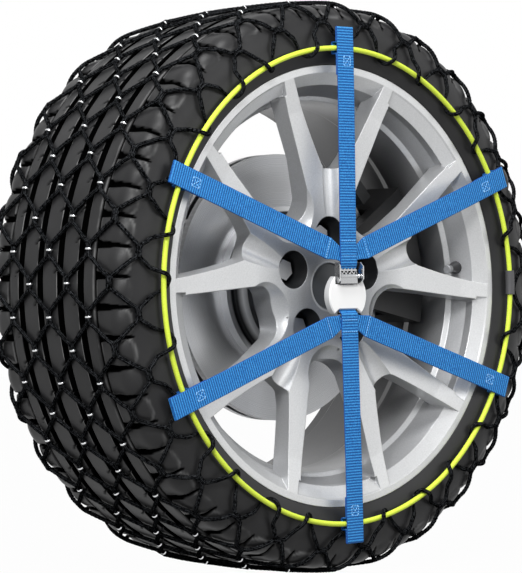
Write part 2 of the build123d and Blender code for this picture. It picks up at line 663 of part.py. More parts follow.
with BuildPart() as caliper_bracket:
    with BuildSketch(caliper_plane(CARRIER_BACK)):
        add(sector(*BRACKET_TIE_R, -BRACKET_LEG[1], BRACKET_LEG[1]))
        for side in (-1, 1):
            add(sector(BRACKET_TIE_R[0], BRACKET_OUTER_R,
                       side * BRACKET_LEG[0], side * BRACKET_LEG[1]))
            with Locations(polar(EAR_R, side * EAR_DEG)):
                Circle(EAR_HOLE_R, mode=Mode.SUBTRACT)
    extrude(amount=BRACKET_THICK)
    with BuildSketch(caliper_plane(BRACKET_FRONT)):
        for side in (-1, 1):
            add(sector(BRACKET_INNER_R, BRACKET_OUTER_R,
                       side * BRACKET_LEG[0], side * BRACKET_LEG[1]))
    extrude(amount=CARRIER_BACK - BRACKET_FRONT)
save(caliper_bracket.part, "caliper_bracket")

with BuildPart() as bracket_bolts:
    for side in (-1, 1):
        ear_plane = Plane(caliper_plane(CARRIER_DEPTH).location
                          * polar(EAR_R, side * EAR_DEG))
        with BuildSketch(ear_plane):
            Circle(EAR_HOLE_R)
        extrude(amount=CARRIER_PLATE + BRACKET_THICK)
        with BuildSketch(ear_plane.offset(CARRIER_PLATE + BRACKET_THICK)):
            RegularPolygon(2 * EAR_HOLE_R, 6)
        extrude(amount=EAR_HOLE_R)
save(bracket_bolts.part, "bracket_bolts")

PAD_STACK = PAD_LINING + PAD_PLATE
FINGER_DEPTH = DISC_FRONT_DEPTH - PAD_GAP - PAD_STACK - FINGER_THICK
HOUSING_DEPTH = DISC_FRONT_DEPTH + DISC_THICK + PAD_GAP + PAD_STACK
HOUSING_END = HOUSING_DEPTH + HOUSING_PLATE + HOUSING_BOSS
with BuildPart() as brake_pads:
    for pad_depth in (FINGER_DEPTH + FINGER_THICK, HOUSING_DEPTH - PAD_STACK):
        with BuildSketch(caliper_plane(pad_depth)):
            add(sector(PAD_INNER_R, PAD_OUTER_R, -PAD_ARC / 2, PAD_ARC / 2))
        extrude(amount=PAD_STACK)
save(brake_pads.part, "brake_pads")

with BuildPart() as brake_caliper:
    with BuildSketch(caliper_plane(FINGER_DEPTH)):
        add(sector(CALIPER_INNER_R, CALIPER_OUTER_R, -CALIPER_ARC / 2, CALIPER_ARC / 2))
    extrude(amount=HOUSING_DEPTH + HOUSING_PLATE - FINGER_DEPTH)
    with BuildSketch(caliper_plane(FINGER_DEPTH + FINGER_THICK)):
        add(sector(CALIPER_INNER_R - 5, BRACKET_INNER_R, -CALIPER_ARC / 2 - 3,
                   CALIPER_ARC / 2 + 3))
    extrude(amount=HOUSING_DEPTH - FINGER_DEPTH - FINGER_THICK, mode=Mode.SUBTRACT)
    with BuildSketch(caliper_plane(HOUSING_DEPTH + HOUSING_PLATE)):
        with Locations((PISTON_CENTRE_R, 0)):
            Circle(HOUSING_BOSS_R)
    extrude(amount=HOUSING_BOSS)
    with BuildSketch(caliper_plane(HOUSING_END - CALIPER_EAR_THICK)):
        for side in (-1, 1):
            add(sector(*CALIPER_EAR_R, 0, side * CALIPER_EAR_DEG))
    extrude(amount=CALIPER_EAR_THICK)
    with BuildSketch(caliper_plane(HOUSING_DEPTH)):
        with Locations((PISTON_CENTRE_R, 0)):
            Circle(PISTON_R + PISTON_CLEARANCE)
    extrude(amount=PISTON_LENGTH, mode=Mode.SUBTRACT)
save(brake_caliper.part, "brake_caliper")

with BuildPart() as brake_piston:
    with BuildSketch(caliper_plane(HOUSING_DEPTH)):
        with Locations((PISTON_CENTRE_R, 0)):
            Circle(PISTON_R)
    extrude(amount=PISTON_LENGTH)
save(brake_piston.part, "brake_piston")

PIN_START = CARRIER_BACK + BRACKET_THICK
PIN_LENGTH = HOUSING_END - CALIPER_EAR_THICK - PIN_START
with BuildPart() as guide_pins:
    for side in (-1, 1):
        pin_plane = Plane(caliper_plane(PIN_START).location
                          * polar(PIN_CENTRE_R, side * PIN_DEG))
        with BuildSketch(pin_plane):
            Circle(PIN_R)
        extrude(amount=PIN_LENGTH)
        rib = PIN_LENGTH / (2 * BOOT_RIBS)
        for ring in range(BOOT_RIBS):
            with BuildSketch(pin_plane.offset((2 * ring + 0.5) * rib)):
                Circle(PIN_BOOT_R)
            extrude(amount=rib)
save(guide_pins.part, "guide_pins")

# ===================================================================== the net
tyre_profile = tread_line.wire()


def meridian(distance):
    """Rope centre at this distance from the crown along the tyre: r, y and tilt."""
    spot = tyre_profile.position_at(distance, position_mode=PositionMode.LENGTH)
    run = tyre_profile.tangent_at(distance, position_mode=PositionMode.LENGTH)
    lift = ROPE_LIFT + ROPE / 2
    return spot.X + run.Y * lift, spot.Y - run.X * lift, run


def rope_section(distance, angle):
    """Plane of a rope's section, square to the round-the-tyre direction."""
    radius, y, run = meridian(distance)
    out = (cos(radians(angle)), sin(radians(angle)))
    return Plane(origin=(radius * out[0], y, radius * out[1]),
                 x_dir=(run.X * out[0], run.Y, run.X * out[1]),
                 z_dir=(-out[1], 0, out[0]))


def zigzag(column):
    """One rope of the net: a closed zigzag between a node column and the next."""
    start, end = net_columns[column], net_columns[column + 1]
    half_cell = CELL_PITCH / 2
    around = radians(half_cell) * meridian((start + end) / 2)[0]
    width = ROPE * ((end - start) ** 2 + around ** 2) ** 0.5 / around
    first = start + (width + ROPE_GAP) / 2
    last = end - (width + ROPE_GAP) / 2
    bends = SHOULDER_BENDS if column == SHOULDER_COLUMN else []
    stops = [first, *bends, last]
    path = [(stop, half_cell * (stop - first) / (last - first)) for stop in stops]
    path += [(stop, CELL_PITCH - angle) for stop, angle in reversed(path[:-1])]
    phase = CLOCKING + half_cell * (1 - column % 2)
    with BuildPart() as cell:
        for stop, angle in path:
            with BuildSketch(rope_section(stop, phase + angle)):
                Rectangle(width, ROPE)
        loft(ruled=True)
    with BuildPart() as rope:
        add([turned(cell.part, count * CELL_PITCH) for count in range(CELLS)])
    return rope.part


edge_radius = RING_R + RING_CORD_R + NET_EDGE_GAP
last_column = COLUMNS[-1]
net_columns = [*COLUMNS, last_column + meridian(last_column)[0] - edge_radius]

with BuildPart() as tread_net:
    for column in range(SHOULDER_COLUMN):
        add(zigzag(column))
    mirror(about=Plane.XZ)
save(tread_net.part, "tread_net")

with BuildPart() as inner_side_net:
    for column in range(SHOULDER_COLUMN, len(COLUMNS)):
        add(zigzag(column))
save(inner_side_net.part, "inner_side_net")
save(inner_side_net.part.mirror(Plane.XZ), "outer_side_net")

for side, label in ((-1, "outer_ring_cord"), (1, "inner_ring_cord")):
    with BuildPart() as ring_cord:
        with BuildSketch(Plane.XY):
            with Locations((RING_R, side * RING_Y)):
                Circle(RING_CORD_R)
        revolve(axis=Axis.Y)
    save(ring_cord.part, label)

with BuildPart() as ring_joiner:
    joiner_arc = JOINER_LENGTH / RING_R * 180 / pi
    with BuildSketch(Plane.XY):
        with Locations((RING_R, -RING_Y)):
            Circle(JOINER_R)
            Circle(RING_CORD_R + JOINER_CLEARANCE, mode=Mode.SUBTRACT)
    revolve(axis=Axis.Y, revolution_arc=joiner_arc)
save(turned(ring_joiner.part, JOINER_DEG + joiner_arc / 2), "ring_joiner")



def ring_ties(side, skipped):
    """Loops that tie the net's edge to a ring, left out at the skipped angles."""
    edge_r, edge_y, _ = meridian(net_columns[-1])
    foot_r = edge_r - TIE_CLEARANCE - ROPE / 2
    with BuildPart() as tie:
        with BuildSketch(Plane.XY):
            with Locations((RING_R, RING_Y)):
                RegularPolygon(RING_CORD_R + TIE_CLEARANCE + TIE_WALL, 8,
                               major_radius=False)
            with Locations((foot_r, edge_y)):
                RegularPolygon(ROPE / 2, 4, major_radius=False, rotation=45)
            make_hull()
            with Locations((RING_R, RING_Y)):
                RegularPolygon(RING_CORD_R + TIE_CLEARANCE, 8, major_radius=False,
                               mode=Mode.SUBTRACT)
        extrude(amount=ROPE / 2, both=True)
        if side < 0:
            mirror(about=Plane.XZ, mode=Mode.REPLACE)
    angles = [CLOCKING + count * CELL_PITCH for count in range(CELLS)]
    free = [a for a in angles
            if all(abs((a - skip + 180) % 360 - 180) > TIE_SKIP for skip in skipped)]
    with BuildPart() as ties:
        add([turned(tie.part, angle) for angle in free])
    return ties.part


strap_angles = [90, 270]
for middle in (0, 180):
    strap_angles += [middle - SIDE_ARM_DEG, middle + SIDE_ARM_DEG]
save(ring_ties(-1, [*strap_angles, JOINER_DEG]), "outer_ring_ties")
save(ring_ties(1, []), "inner_ring_ties")


# ==================================================================== the straps
def strap(label, aim, ring_at, inner_path, outline, holes=()):
    """Webbing from the buckle out to the ring, looped round it and sewn back.

    aim is the plane the strap runs in, x out along it and y to Y; ring_at is the
    ring's place along it. inner_path is the webbing's centre line near the buckle
    and outline its half widths, both against the distance along the strap.
    """
    front = -RING_Y - RING_CORD_R - WEB_LIFT - WEB_THICK / 2
    behind = front + WEB_THICK + WEB_LIFT
    under = -RING_Y + RING_CORD_R + WEB_LIFT + WEB_THICK / 2
    close = RING_CORD_R + LOOP_SLACK + WEB_THICK / 2
    with BuildPart() as webbing:
        with BuildSketch(aim):
            with BuildLine():
                FilletPolyline(*inner_path, (ring_at - LOOP_RETURN - WEB_WIDTH, front),
                               (ring_at + LOOP_REACH, front),
                               (ring_at + LOOP_REACH, behind),
                               (ring_at + close, behind), (ring_at + close, under),
                               (ring_at - close, under), (ring_at - close, behind),
                               (ring_at - LOOP_RETURN, behind), radius=BEND_R)
            trace(line_width=WEB_THICK)
        extrude(amount=WEB_WIDTH / 2, both=True)
        upper = [*outline, (ring_at + LOOP_REACH + WEB_WIDTH, WEB_WIDTH / 2)]
        lower = [(place, -half) for place, half in reversed(upper)]
        with BuildSketch(Plane(origin=aim.origin, x_dir=aim.x_dir, z_dir=(0, -1, 0))):
            with BuildLine():
                Polyline(*upper, *lower, close=True)
            make_face()
            if holes:
                with Locations(*holes):
                    Circle(POST_R + WEB_GAP, mode=Mode.SUBTRACT)
        extrude(amount=2 * RING_Y, both=True, mode=Mode.INTERSECT)
    return save(webbing.part, label)


def strap_plane(z, angle):
    """Plane that holds a strap and the Y axis: x runs out along the strap, y is Y."""
    out = Vector(cos(radians(angle)), 0, sin(radians(angle)))
    return Plane(origin=(0, 0, z), x_dir=out, z_dir=out.cross(Vector(0, 1, 0)))


floor_back = PLATE_FRONT_Y + PLATE_WALL + FRAME_GAP + FRAME_SHEET
floor_front = floor_back - FRAME_SHEET
on_floor = floor_front - WEB_GAP - WEB_THICK / 2
behind_floor = floor_back + WEB_GAP + WEB_THICK / 2
slot_middle = -SLOT_TOP + SLOT_HEIGHT / 2
lip_middle = FRAME_TOP - LIP_HEIGHT / 2

top_path = [(TOP_END, on_floor), (lip_middle - 8, on_floor),
            (lip_middle - 1.5, MOUTH_Y), (lip_middle + 6, MOUTH_Y), (JOIN_REACH, JOIN_Y)]
strap("strap_top", strap_plane(0, 90), RING_R, top_path,
      [(TOP_END, WEB_WIDTH / 2)])
bottom_path = [(BOTTOM_END, behind_floor), (slot_middle - 2, behind_floor),
               (slot_middle + 4, JOIN_Y), (JOIN_REACH, JOIN_Y)]
strap("strap_bottom", strap_plane(0, -90), RING_R, bottom_path,
      [(BOTTOM_END, WEB_WIDTH / 2)],
      holes=[(-POST_Z, -POST_X), (-POST_Z, POST_X)])

ring_x = RING_R * cos(radians(SIDE_ARM_DEG))
ring_z = RING_R * sin(radians(SIDE_ARM_DEG))
arm_y = JOIN_Y + WEB_THICK + WEB_GAP
for row, axis_z, end in zip(("upper", "lower"), ARM_AXIS_Z, (ARM_END, ARM_END_LOW)):
    rise = ring_z - abs(axis_z)
    length = (ring_x ** 2 + rise ** 2) ** 0.5
    slope = degrees(asin(rise / length))
    if axis_z < 0:
        slope = -slope
    arm_path = [(end, arm_y), (ARM_TAPER[1] + WEB_WIDTH, arm_y)]
    arm_outline = [(end, ARM_NARROW / 2), (ARM_TAPER[0], ARM_NARROW / 2),
                   (ARM_TAPER[1], WEB_WIDTH / 2)]
    strap(f"strap_{row}_right", strap_plane(axis_z, slope), length, arm_path,
          arm_outline)
    strap(f"strap_{row}_left", strap_plane(axis_z, 180 - slope), length, arm_path,
          arm_outline)

# ==================================================================== the buckle
with BuildPart() as tension_plate:
    plate_back = axial_plane(PLATE_FRONT_Y + PLATE_THICK)
    with BuildSketch(plate_back):
        with Locations((0, PLATE_Z)):
            Circle(PLATE_R)
        with Locations((0, PLATE_NOTCH_TOP + PLATE_R)):
            Rectangle(2 * PLATE_NOTCH_HALF, 2 * PLATE_R, mode=Mode.SUBTRACT)
        with BuildLine():
            Polyline((-PLATE_TAIL_HALF, PLATE_TAIL_Z), (PLATE_TAIL_HALF, PLATE_TAIL_Z),
                     (PLATE_TAIL_HALF + PLATE_TAIL_FLARE, PLATE_Z - PLATE_R),
                     (-PLATE_TAIL_HALF - PLATE_TAIL_FLARE, PLATE_Z - PLATE_R),
                     close=True)
        make_face(mode=Mode.SUBTRACT)
    extrude(amount=PLATE_THICK)
    chamfer(tension_plate.faces().sort_by(Axis.Y)[0].edges(), PLATE_ROUND)
    with BuildSketch(plate_back):
        with Locations((0, PLATE_Z)):
            Circle(PLATE_R - PLATE_WALL)
    extrude(amount=PLATE_THICK - PLATE_WALL, mode=Mode.SUBTRACT)
    with BuildSketch(axial_plane(PLATE_FRONT_Y + PLATE_WALL)):
        with Locations((-POST_X, POST_Z), (POST_X, POST_Z)):
            Circle(POST_R)
    extrude(amount=-POST_LENGTH)
save(tension_plate.part, "tension_plate")

with BuildPart() as plate_washers:
    with BuildSketch(axial_plane(behind_floor + WEB_THICK / 2 + WASHER_THICK + WEB_GAP)):
        with Locations((-POST_X, POST_Z), (POST_X, POST_Z)):
            Circle(WASHER_R)
            Circle(POST_R, mode=Mode.SUBTRACT)
    extrude(amount=WASHER_THICK)
save(plate_washers.part, "plate_washers")


def cheek(side, front):
    """One cheek of the frame, with the holes for the cam's pin."""
    corner = CHEEK_CORNER * (floor_back - front) / (floor_back - RIGHT_CHEEK_Y)
    with BuildPart() as sheet:
        with BuildSketch(Plane.YZ.offset(side * FRAME_HALF)):
            with BuildLine():
                Polyline((floor_back, CHEEK_BOTTOM), (front + corner, CHEEK_BOTTOM),
                         (front, CHEEK_BOTTOM + corner), (front, FRAME_TOP - corner),
                         (front + corner, FRAME_TOP), (floor_back, FRAME_TOP),
                         close=True)
            make_face()
            with Locations((CAM_PIN_Y, CAM_PIN_Z)):
                Circle(CAM_PIN_R, mode=Mode.SUBTRACT)
        extrude(amount=-side * FRAME_SHEET)
    return sheet.part


with BuildPart() as buckle_frame:
    with BuildSketch(axial_plane(floor_back)):
        with Locations((0, (FRAME_TOP + FRAME_TAIL_Z) / 2)):
            Rectangle(2 * FRAME_HALF, FRAME_TOP - FRAME_TAIL_Z)
        with Locations((0, (FRAME_TAIL_Z + FRAME_BOTTOM) / 2)):
            Rectangle(2 * FRAME_TAIL_HALF, FRAME_TAIL_Z - FRAME_BOTTOM)
        with Locations((0, -slot_middle)):
            Rectangle(WEB_WIDTH + 1, SLOT_HEIGHT, mode=Mode.SUBTRACT)
        with Locations((-POST_X, POST_Z), (POST_X, POST_Z)):
            Circle(POST_R, mode=Mode.SUBTRACT)
    extrude(amount=FRAME_SHEET)
    with BuildSketch(axial_plane(floor_front)):
        with Locations((0, lip_middle)):
            Rectangle(2 * (FRAME_HALF - FRAME_SHEET), LIP_HEIGHT)
    extrude(amount=LIP_REACH)
    add(cheek(-1, LEFT_CHEEK_Y))
    add(cheek(1, RIGHT_CHEEK_Y))
save(buckle_frame.part, "buckle_frame")

with BuildPart() as cam_pin:
    with BuildSketch(Plane.YZ.offset(-FRAME_HALF)):
        with Locations((CAM_PIN_Y, CAM_PIN_Z)):
            Circle(CAM_PIN_R)
    extrude(amount=2 * FRAME_HALF)
save(cam_pin.part, "cam_pin")

cam_left = -FRAME_HALF + FRAME_SHEET + CAM_SIDE_GAP
cam_right = FRAME_HALF - FRAME_SHEET - SPRING_LENGTH - CAM_SIDE_GAP
tooth_pitch = (cam_right - cam_left) / CAM_TEETH
with BuildPart() as cam_lever:
    with BuildSketch(Plane.YZ.offset(cam_left)):
        with BuildLine():
            Polyline((TAB_Y, TAB_BOTTOM_Z), (CAM_PIN_Y - 0.5, CAM_PIN_Z),
                     (CAM_TOP_Y, CAM_TOP_Z))
        trace(line_width=CAM_THICK)
        with Locations((CAM_PIN_Y, CAM_PIN_Z)):
            Circle(KNUCKLE_R)
            Circle(CAM_PIN_R + CAM_RUNNING, mode=Mode.SUBTRACT)
    extrude(amount=cam_right - cam_left)
    for tooth in range(CAM_TEETH):
        middle = cam_left + (tooth + 0.5) * tooth_pitch
        with BuildSketch(axial_plane(CAM_TOP_Y + CAM_THICK / 2)):
            with Locations((middle, CAM_TOP_Z)):
                Triangle(a=2 * TOOTH_HALF, b=TOOTH_SIDE, c=TOOTH_SIDE,
                         align=(Align.CENTER, Align.MIN))
        extrude(amount=CAM_THICK)
        if tooth % 2 == 0:
            with BuildSketch(axial_plane(CAM_TOP_Y + 2 * CAM_THICK)):
                with Locations((middle, (CAM_PIN_Z + KNUCKLE_R + CAM_TOP_Z) / 2)):
                    RegularPolygon(CAM_WINDOW_HALF, 3, rotation=90)
            extrude(amount=4 * CAM_THICK, mode=Mode.SUBTRACT)
save(cam_lever.part, "cam_lever")

with BuildPart() as cam_spring:
    turns = 3
    coil_length = SPRING_LENGTH - CAM_SIDE_GAP - 2 * SPRING_WIRE_R
    coil_x = cam_right + CAM_SIDE_GAP + SPRING_WIRE_R
    with BuildLine() as coil:
        Helix(coil_length / turns, coil_length, SPRING_R,
              center=(coil_x, CAM_PIN_Y, CAM_PIN_Z), direction=(1, 0, 0))
    with BuildSketch(Plane(origin=coil.line @ 0, z_dir=coil.line % 0)):
        Circle(SPRING_WIRE_R)
    sweep()
save(cam_spring.part, "cam_spring")
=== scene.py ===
"""A car wheel wearing a rope anti-skid net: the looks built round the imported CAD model."""

import math

import bpy
from mathutils import Matrix, Vector


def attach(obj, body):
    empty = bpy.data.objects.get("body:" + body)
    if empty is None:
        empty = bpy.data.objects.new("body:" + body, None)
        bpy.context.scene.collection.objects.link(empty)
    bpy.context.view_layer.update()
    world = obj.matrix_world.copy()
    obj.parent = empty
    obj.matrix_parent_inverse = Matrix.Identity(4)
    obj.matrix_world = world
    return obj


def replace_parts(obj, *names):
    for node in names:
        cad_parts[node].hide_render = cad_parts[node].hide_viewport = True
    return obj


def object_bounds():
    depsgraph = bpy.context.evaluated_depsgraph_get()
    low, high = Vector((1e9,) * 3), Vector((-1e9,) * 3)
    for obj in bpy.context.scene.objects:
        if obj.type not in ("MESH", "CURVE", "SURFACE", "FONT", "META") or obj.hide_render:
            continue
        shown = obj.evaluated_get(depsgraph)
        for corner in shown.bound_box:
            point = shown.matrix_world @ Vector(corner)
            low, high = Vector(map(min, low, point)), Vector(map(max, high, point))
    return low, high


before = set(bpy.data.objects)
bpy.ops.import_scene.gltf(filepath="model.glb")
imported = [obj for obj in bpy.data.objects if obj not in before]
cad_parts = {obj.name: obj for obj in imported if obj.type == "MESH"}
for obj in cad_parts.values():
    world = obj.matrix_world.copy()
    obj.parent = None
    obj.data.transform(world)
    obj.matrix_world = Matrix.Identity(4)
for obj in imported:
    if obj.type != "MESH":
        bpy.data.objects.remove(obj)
cad_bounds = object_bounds()
MM = 0.001
TURN = 2 * math.pi

# --------------- sizes shared by the pieces, in millimetres
FACE_Y = -114.5           # outer face of the rim; depths count inboard from it
CLOCKING = -1.6           # degrees that the wheel and the net are turned by
CELLS = 28                # net cells round the tyre
PITCH = 360.0 / CELLS     # degrees from one cell to the next
COLUMNS = [0.0, 33.0, 66.0, 100.0, 128.0]  # net nodes, along the tyre from its crown
ROPE_R = 2.35
ROPE_LIFT = 0.4           # from the tyre to the rope's underside
RING_R, RING_Y, RING_CORD_R = 264.0, 126.2, 3.5
WEB_HALF = 12.5
WEB_THICK = 1.6
SIDE_ARM_DEG = 26.5       # the side straps meet the ring this far from level
STRAP_DEGREES = [90.0, 270.0, -SIDE_ARM_DEG, SIDE_ARM_DEG,
                 180.0 - SIDE_ARM_DEG, 180.0 + SIDE_ARM_DEG]
JOINER_DEG = 0.0          # where the sleeve sits on the yellow cord

# The tyre's section as arcs of (radius, Y), from the crown to the bead, then its inside.
CROWN = [(317.5, 0.0), (316.8, 48.0), (314.6, 96.0)]
SHOULDER = [(314.6, 96.0), (310.3, 107.0), (300.0, 114.5)]
SIDEWALL = [(300.0, 114.5), (272.0, 120.5), (246.3, 114.5)]
BEAD = [(246.3, 103.2), (229.3, 103.2), (229.3, 87.2), (240.0, 87.2)]
LINING = [(252.0, 100.0), (272.0, 110.5), (290.0, 105.5), (298.0, 96.0), (303.0, 48.0)]
LINING_TOP = (304.0, 0.0)
SECTION_CENTRE_R = 275.0  # middle of the tyre's section


# -------------------------------------------- small helpers
def arc(a, b, c, step=1.5):
    """Points of the circle through a, b and c, from a to c."""
    ax, ay, bx, by, cx, cy = *a, *b, *c
    d = 2 * (ax * (by - cy) + bx * (cy - ay) + cx * (ay - by))
    a2, b2, c2 = ax * ax + ay * ay, bx * bx + by * by, cx * cx + cy * cy
    ux = (a2 * (by - cy) + b2 * (cy - ay) + c2 * (ay - by)) / d
    uy = (a2 * (cx - bx) + b2 * (ax - cx) + c2 * (bx - ax)) / d
    radius = math.hypot(ax - ux, ay - uy)
    start = math.atan2(ay - uy, ax - ux)
    sweep = (math.atan2(cy - uy, cx - ux) - start + math.pi) % TURN - math.pi
    count = max(2, round(abs(sweep) * radius / step))
    return [(ux + radius * math.cos(start + sweep * i / count),
             uy + radius * math.sin(start + sweep * i / count)) for i in range(count + 1)]


profile = arc(*CROWN) + arc(*SHOULDER)[1:] + arc(*SIDEWALL)[1:]
lengths = [0.0]
for here, there in zip(profile, profile[1:]):
    lengths.append(lengths[-1] + math.dist(here, there))


def on_profile(s):
    """Radius, Y and outward direction of the tyre at s mm from its crown."""
    away = min(abs(s), lengths[-1] - 0.01)
    i = max(k for k in range(len(lengths) - 1) if lengths[k] <= away)
    (r0, y0), (r1, y1) = profile[i], profile[i + 1]
    part = (away - lengths[i]) / (lengths[i + 1] - lengths[i])
    tr, ty = (r1 - r0), (y1 - y0)
    size = math.hypot(tr, ty)
    side = -1 if s < 0 else 1
    return r0 + part * tr, side * (y0 + part * ty), ty / size, -side * tr / size


def space(r, y, degrees):
    """A point given by radius, Y and angle, in metres."""
    a = math.radians(degrees)
    return Vector((r * math.cos(a), y, r * math.sin(a))) * MM


def spoke_axes(degrees):
    """Directions out from the axle at this angle, and round it."""
    a = math.radians(degrees)
    return Vector((math.cos(a), 0, math.sin(a))), Vector((-math.sin(a), 0, math.cos(a)))


def mesh_object(name, verts, faces, uvs=None, smooth=True):
    """A mesh object; uvs, if given, holds one pair for each corner of each face."""
    mesh = bpy.data.meshes.new(name)
    mesh.from_pydata([tuple(v) for v in verts], [], faces)
    if uvs:
        layer = mesh.uv_layers.new(name="along")
        layer.data.foreach_set("uv", [c for pair in uvs for c in pair])
    mesh.polygons.foreach_set("use_smooth", [smooth] * len(mesh.polygons))
    mesh.update()
    obj = bpy.data.objects.new(name, mesh)
    bpy.context.scene.collection.objects.link(obj)
    return obj


class Build:
    """Collects tubes and strips into one mesh with lengthwise coordinates."""

    def __init__(self):
        self.verts, self.faces, self.uvs = [], [], []

    def rings(self, rings, places, closed=False):
        """Joins rings of points, closed or capped; places are how far along they lie."""
        sides = len(rings[0])
        base = len(self.verts)
        for ring in rings:
            self.verts.extend(ring)
        spans = len(rings) if closed else len(rings) - 1
        for j in range(spans):
            k = (j + 1) % len(rings)
            v0 = places[j]
            v1 = places[j + 1] if j + 1 < len(places) else places[j]
            for i in range(sides):
                n = (i + 1) % sides
                self.faces.append((base + j * sides + i, base + j * sides + n,
                                   base + k * sides + n, base + k * sides + i))
                self.uvs += [(i / sides, v0), ((i + 1) / sides, v0),
                             ((i + 1) / sides, v1), (i / sides, v1)]
        if not closed:
            last = base + (len(rings) - 1) * sides
            self.faces.append(tuple(range(base + sides - 1, base - 1, -1)))
            self.faces.append(tuple(range(last, last + sides)))
            self.uvs += [(0.5, 0.0)] * (2 * sides)

    def object(self, name):
        return mesh_object(name, self.verts, self.faces, self.uvs)


# ------------------------------------------------- the tyre
BLOCKS = 60               # shoulder blocks round the tyre
BLOCK_LENGTH = 32.7
STEPS = 26                # mesh steps to a block
STATION_STEP = 2.4        # and mesh steps across the tyre
GROOVES = [-52.5, -17.5, 17.5, 52.5]
GROOVE_HALF, GROOVE_DEPTH = 5.6, 6.5
EDGE_GROOVE, EDGE_GROOVE_HALF, EDGE_GROOVE_DEPTH = 76.0, 2.1, 3.6
CHAMFER, CHAMFER_DEPTH = 0.35, 0.8
WALL_RUN = 0.3            # a groove's wall leans by this much
RIM_HIGHLIGHT_RUN = 0.5            # painted highlight strip beside a groove
NOTCH_REACH, NOTCH_DEPTH = 12.0, 3.0
NOTCH_START = 0.3         # of a block
NOTCH_SWEEP = 14.0        # the larger, the straighter the notch
CLAW_END = 123.0          # the shoulder grooves run out here
CLAW_DEPTH = 5.0
CLAW_HALF, CLAW_TIP_HALF = 3.0, 0.6
CLAW_LEAN = 0.05          # of a block, over the claw's length
LUG_CROWN, LUG_RISE = 3.2, 1.8
LUG_ROUND = 9.0           # the lugs' ends are drawn back at their corners
# strength of the painted highlight at the lugs' rounded ends
LUG_EDGE_LIGHT = 0.35
SIDEWALL_FADE = 158.0     # the recessed sidewall comes back up before the rim
SIDEWALL_FADE_RUN = 14.0
# painted shade on the tyre's inside and bead
INSIDE_DARK = 0.8


def ramp(value, start, end):
    """Goes smoothly from 0 at start to 1 at end."""
    t = min(max((value - start) / (end - start), 0.0), 1.0)
    return t * t * (3 - 2 * t)


def channel(gap, half, depth):
    """Cut and painted edge highlight of a groove at this distance from its middle."""
    lip = half - CHAMFER
    wall = lip - WALL_RUN
    cut = depth * (1 - ramp(gap, wall, lip)) + CHAMFER_DEPTH * (1 - ramp(gap, lip, half))
    edge = ramp(gap, wall, lip) * (1 - ramp(gap, half, half + RIM_HIGHLIGHT_RUN))
    return min(cut, depth), edge


def notch(gap, block):
    """Cut of the hooked slit that leaves each groove once a block."""
    hook = NOTCH_START + ((gap - GROOVE_HALF) / NOTCH_SWEEP) ** 2
    across = abs(block - hook) * BLOCK_LENGTH
    fade = 1 - ramp(gap, NOTCH_REACH - 3, NOTCH_REACH)
    return NOTCH_DEPTH * fade * (1 - ramp(across, 0.4, 1.6))


def lugs(away, block):
    """Cut, painted shade and painted edge highlight of the shoulder lugs and the claws between
    them.
    """
    run = (away - EDGE_GROOVE) / (CLAW_END - EDGE_GROOVE)
    across = abs(block - 0.5 - CLAW_LEAN * run) * BLOCK_LENGTH
    half = CLAW_HALF * max(1 - run, 0) ** 0.8 + CLAW_TIP_HALF
    fade = 1 - ramp(run, 0.9, 1.0)
    claw = CLAW_DEPTH * fade * (1 - ramp(across, half - 0.4, half + 0.9))
    to_corner = 1 - min(across / (BLOCK_LENGTH / 2), 1.0)
    crown = LUG_CROWN * to_corner ** 2 * ramp(run, 0.0, 0.2) * (1 - ramp(run, 0.85, 1.0))
    end = CLAW_END - LUG_ROUND * to_corner ** 3
    beyond = LUG_RISE * ramp(away, end - 5.0, end + 1.5)
    beyond *= 1 - ramp(away, SIDEWALL_FADE - SIDEWALL_FADE_RUN, SIDEWALL_FADE)
    # painted highlight along the lugs' ends
    light = ramp(away, end - 5, end - 2) * (1 - ramp(away, end - 1, end + 1))
    # the claws' darkness is painted shade
    return max(claw, crown, beyond), ramp(claw, 0.3, 1.0), LUG_EDGE_LIGHT * light


def tread(s, block):
    """Cut, painted shade and painted edge highlight of the tread at s; block runs from 0 to 1
    round.
    """
    away = abs(s)
    cut, edge = channel(abs(away - EDGE_GROOVE), EDGE_GROOVE_HALF, EDGE_GROOVE_DEPTH)
    for middle in GROOVES:
        gap = abs(s - middle)
        found, light = channel(gap, GROOVE_HALF, GROOVE_DEPTH)
        cut, edge = max(cut, found), max(edge, light if s > middle else 0.5 * light)
        if s > middle and GROOVE_HALF - 1 < gap < NOTCH_REACH:
            cut = max(cut, notch(gap, block))
    # painted shade in the grooves and notches
    dark = ramp(cut, 0.2, 0.7)
    if away > EDGE_GROOVE:
        found, deep, light = lugs(away, block)
        cut, dark, edge = max(cut, found), max(dark, deep), max(edge, light)
    return cut, dark, edge * (1 - dark)


def tread_stations():
    """Places across the tyre where the mesh has points: close together at grooves."""
    fine = set()
    for groove in GROOVES:
        for offset in (0, GROOVE_HALF - CHAMFER - WALL_RUN, GROOVE_HALF - CHAMFER,
                       GROOVE_HALF, GROOVE_HALF + RIM_HIGHLIGHT_RUN, GROOVE_HALF + STATION_STEP):
            fine |= {groove - offset, groove + offset}
    for side in (-1, 1):
        for offset in (0, 0.45, 0.8, 1.2, 1.6, STATION_STEP):
            fine |= {side * (EDGE_GROOVE - offset), side * (EDGE_GROOVE + offset)}
    reach = lengths[-1]
    count = round(2 * reach / STATION_STEP)
    coarse = [-reach + 2 * reach * i / count for i in range(count + 1)]
    return sorted(fine | {s for s in coarse if all(abs(s - f) > 0.8 for f in fine)})


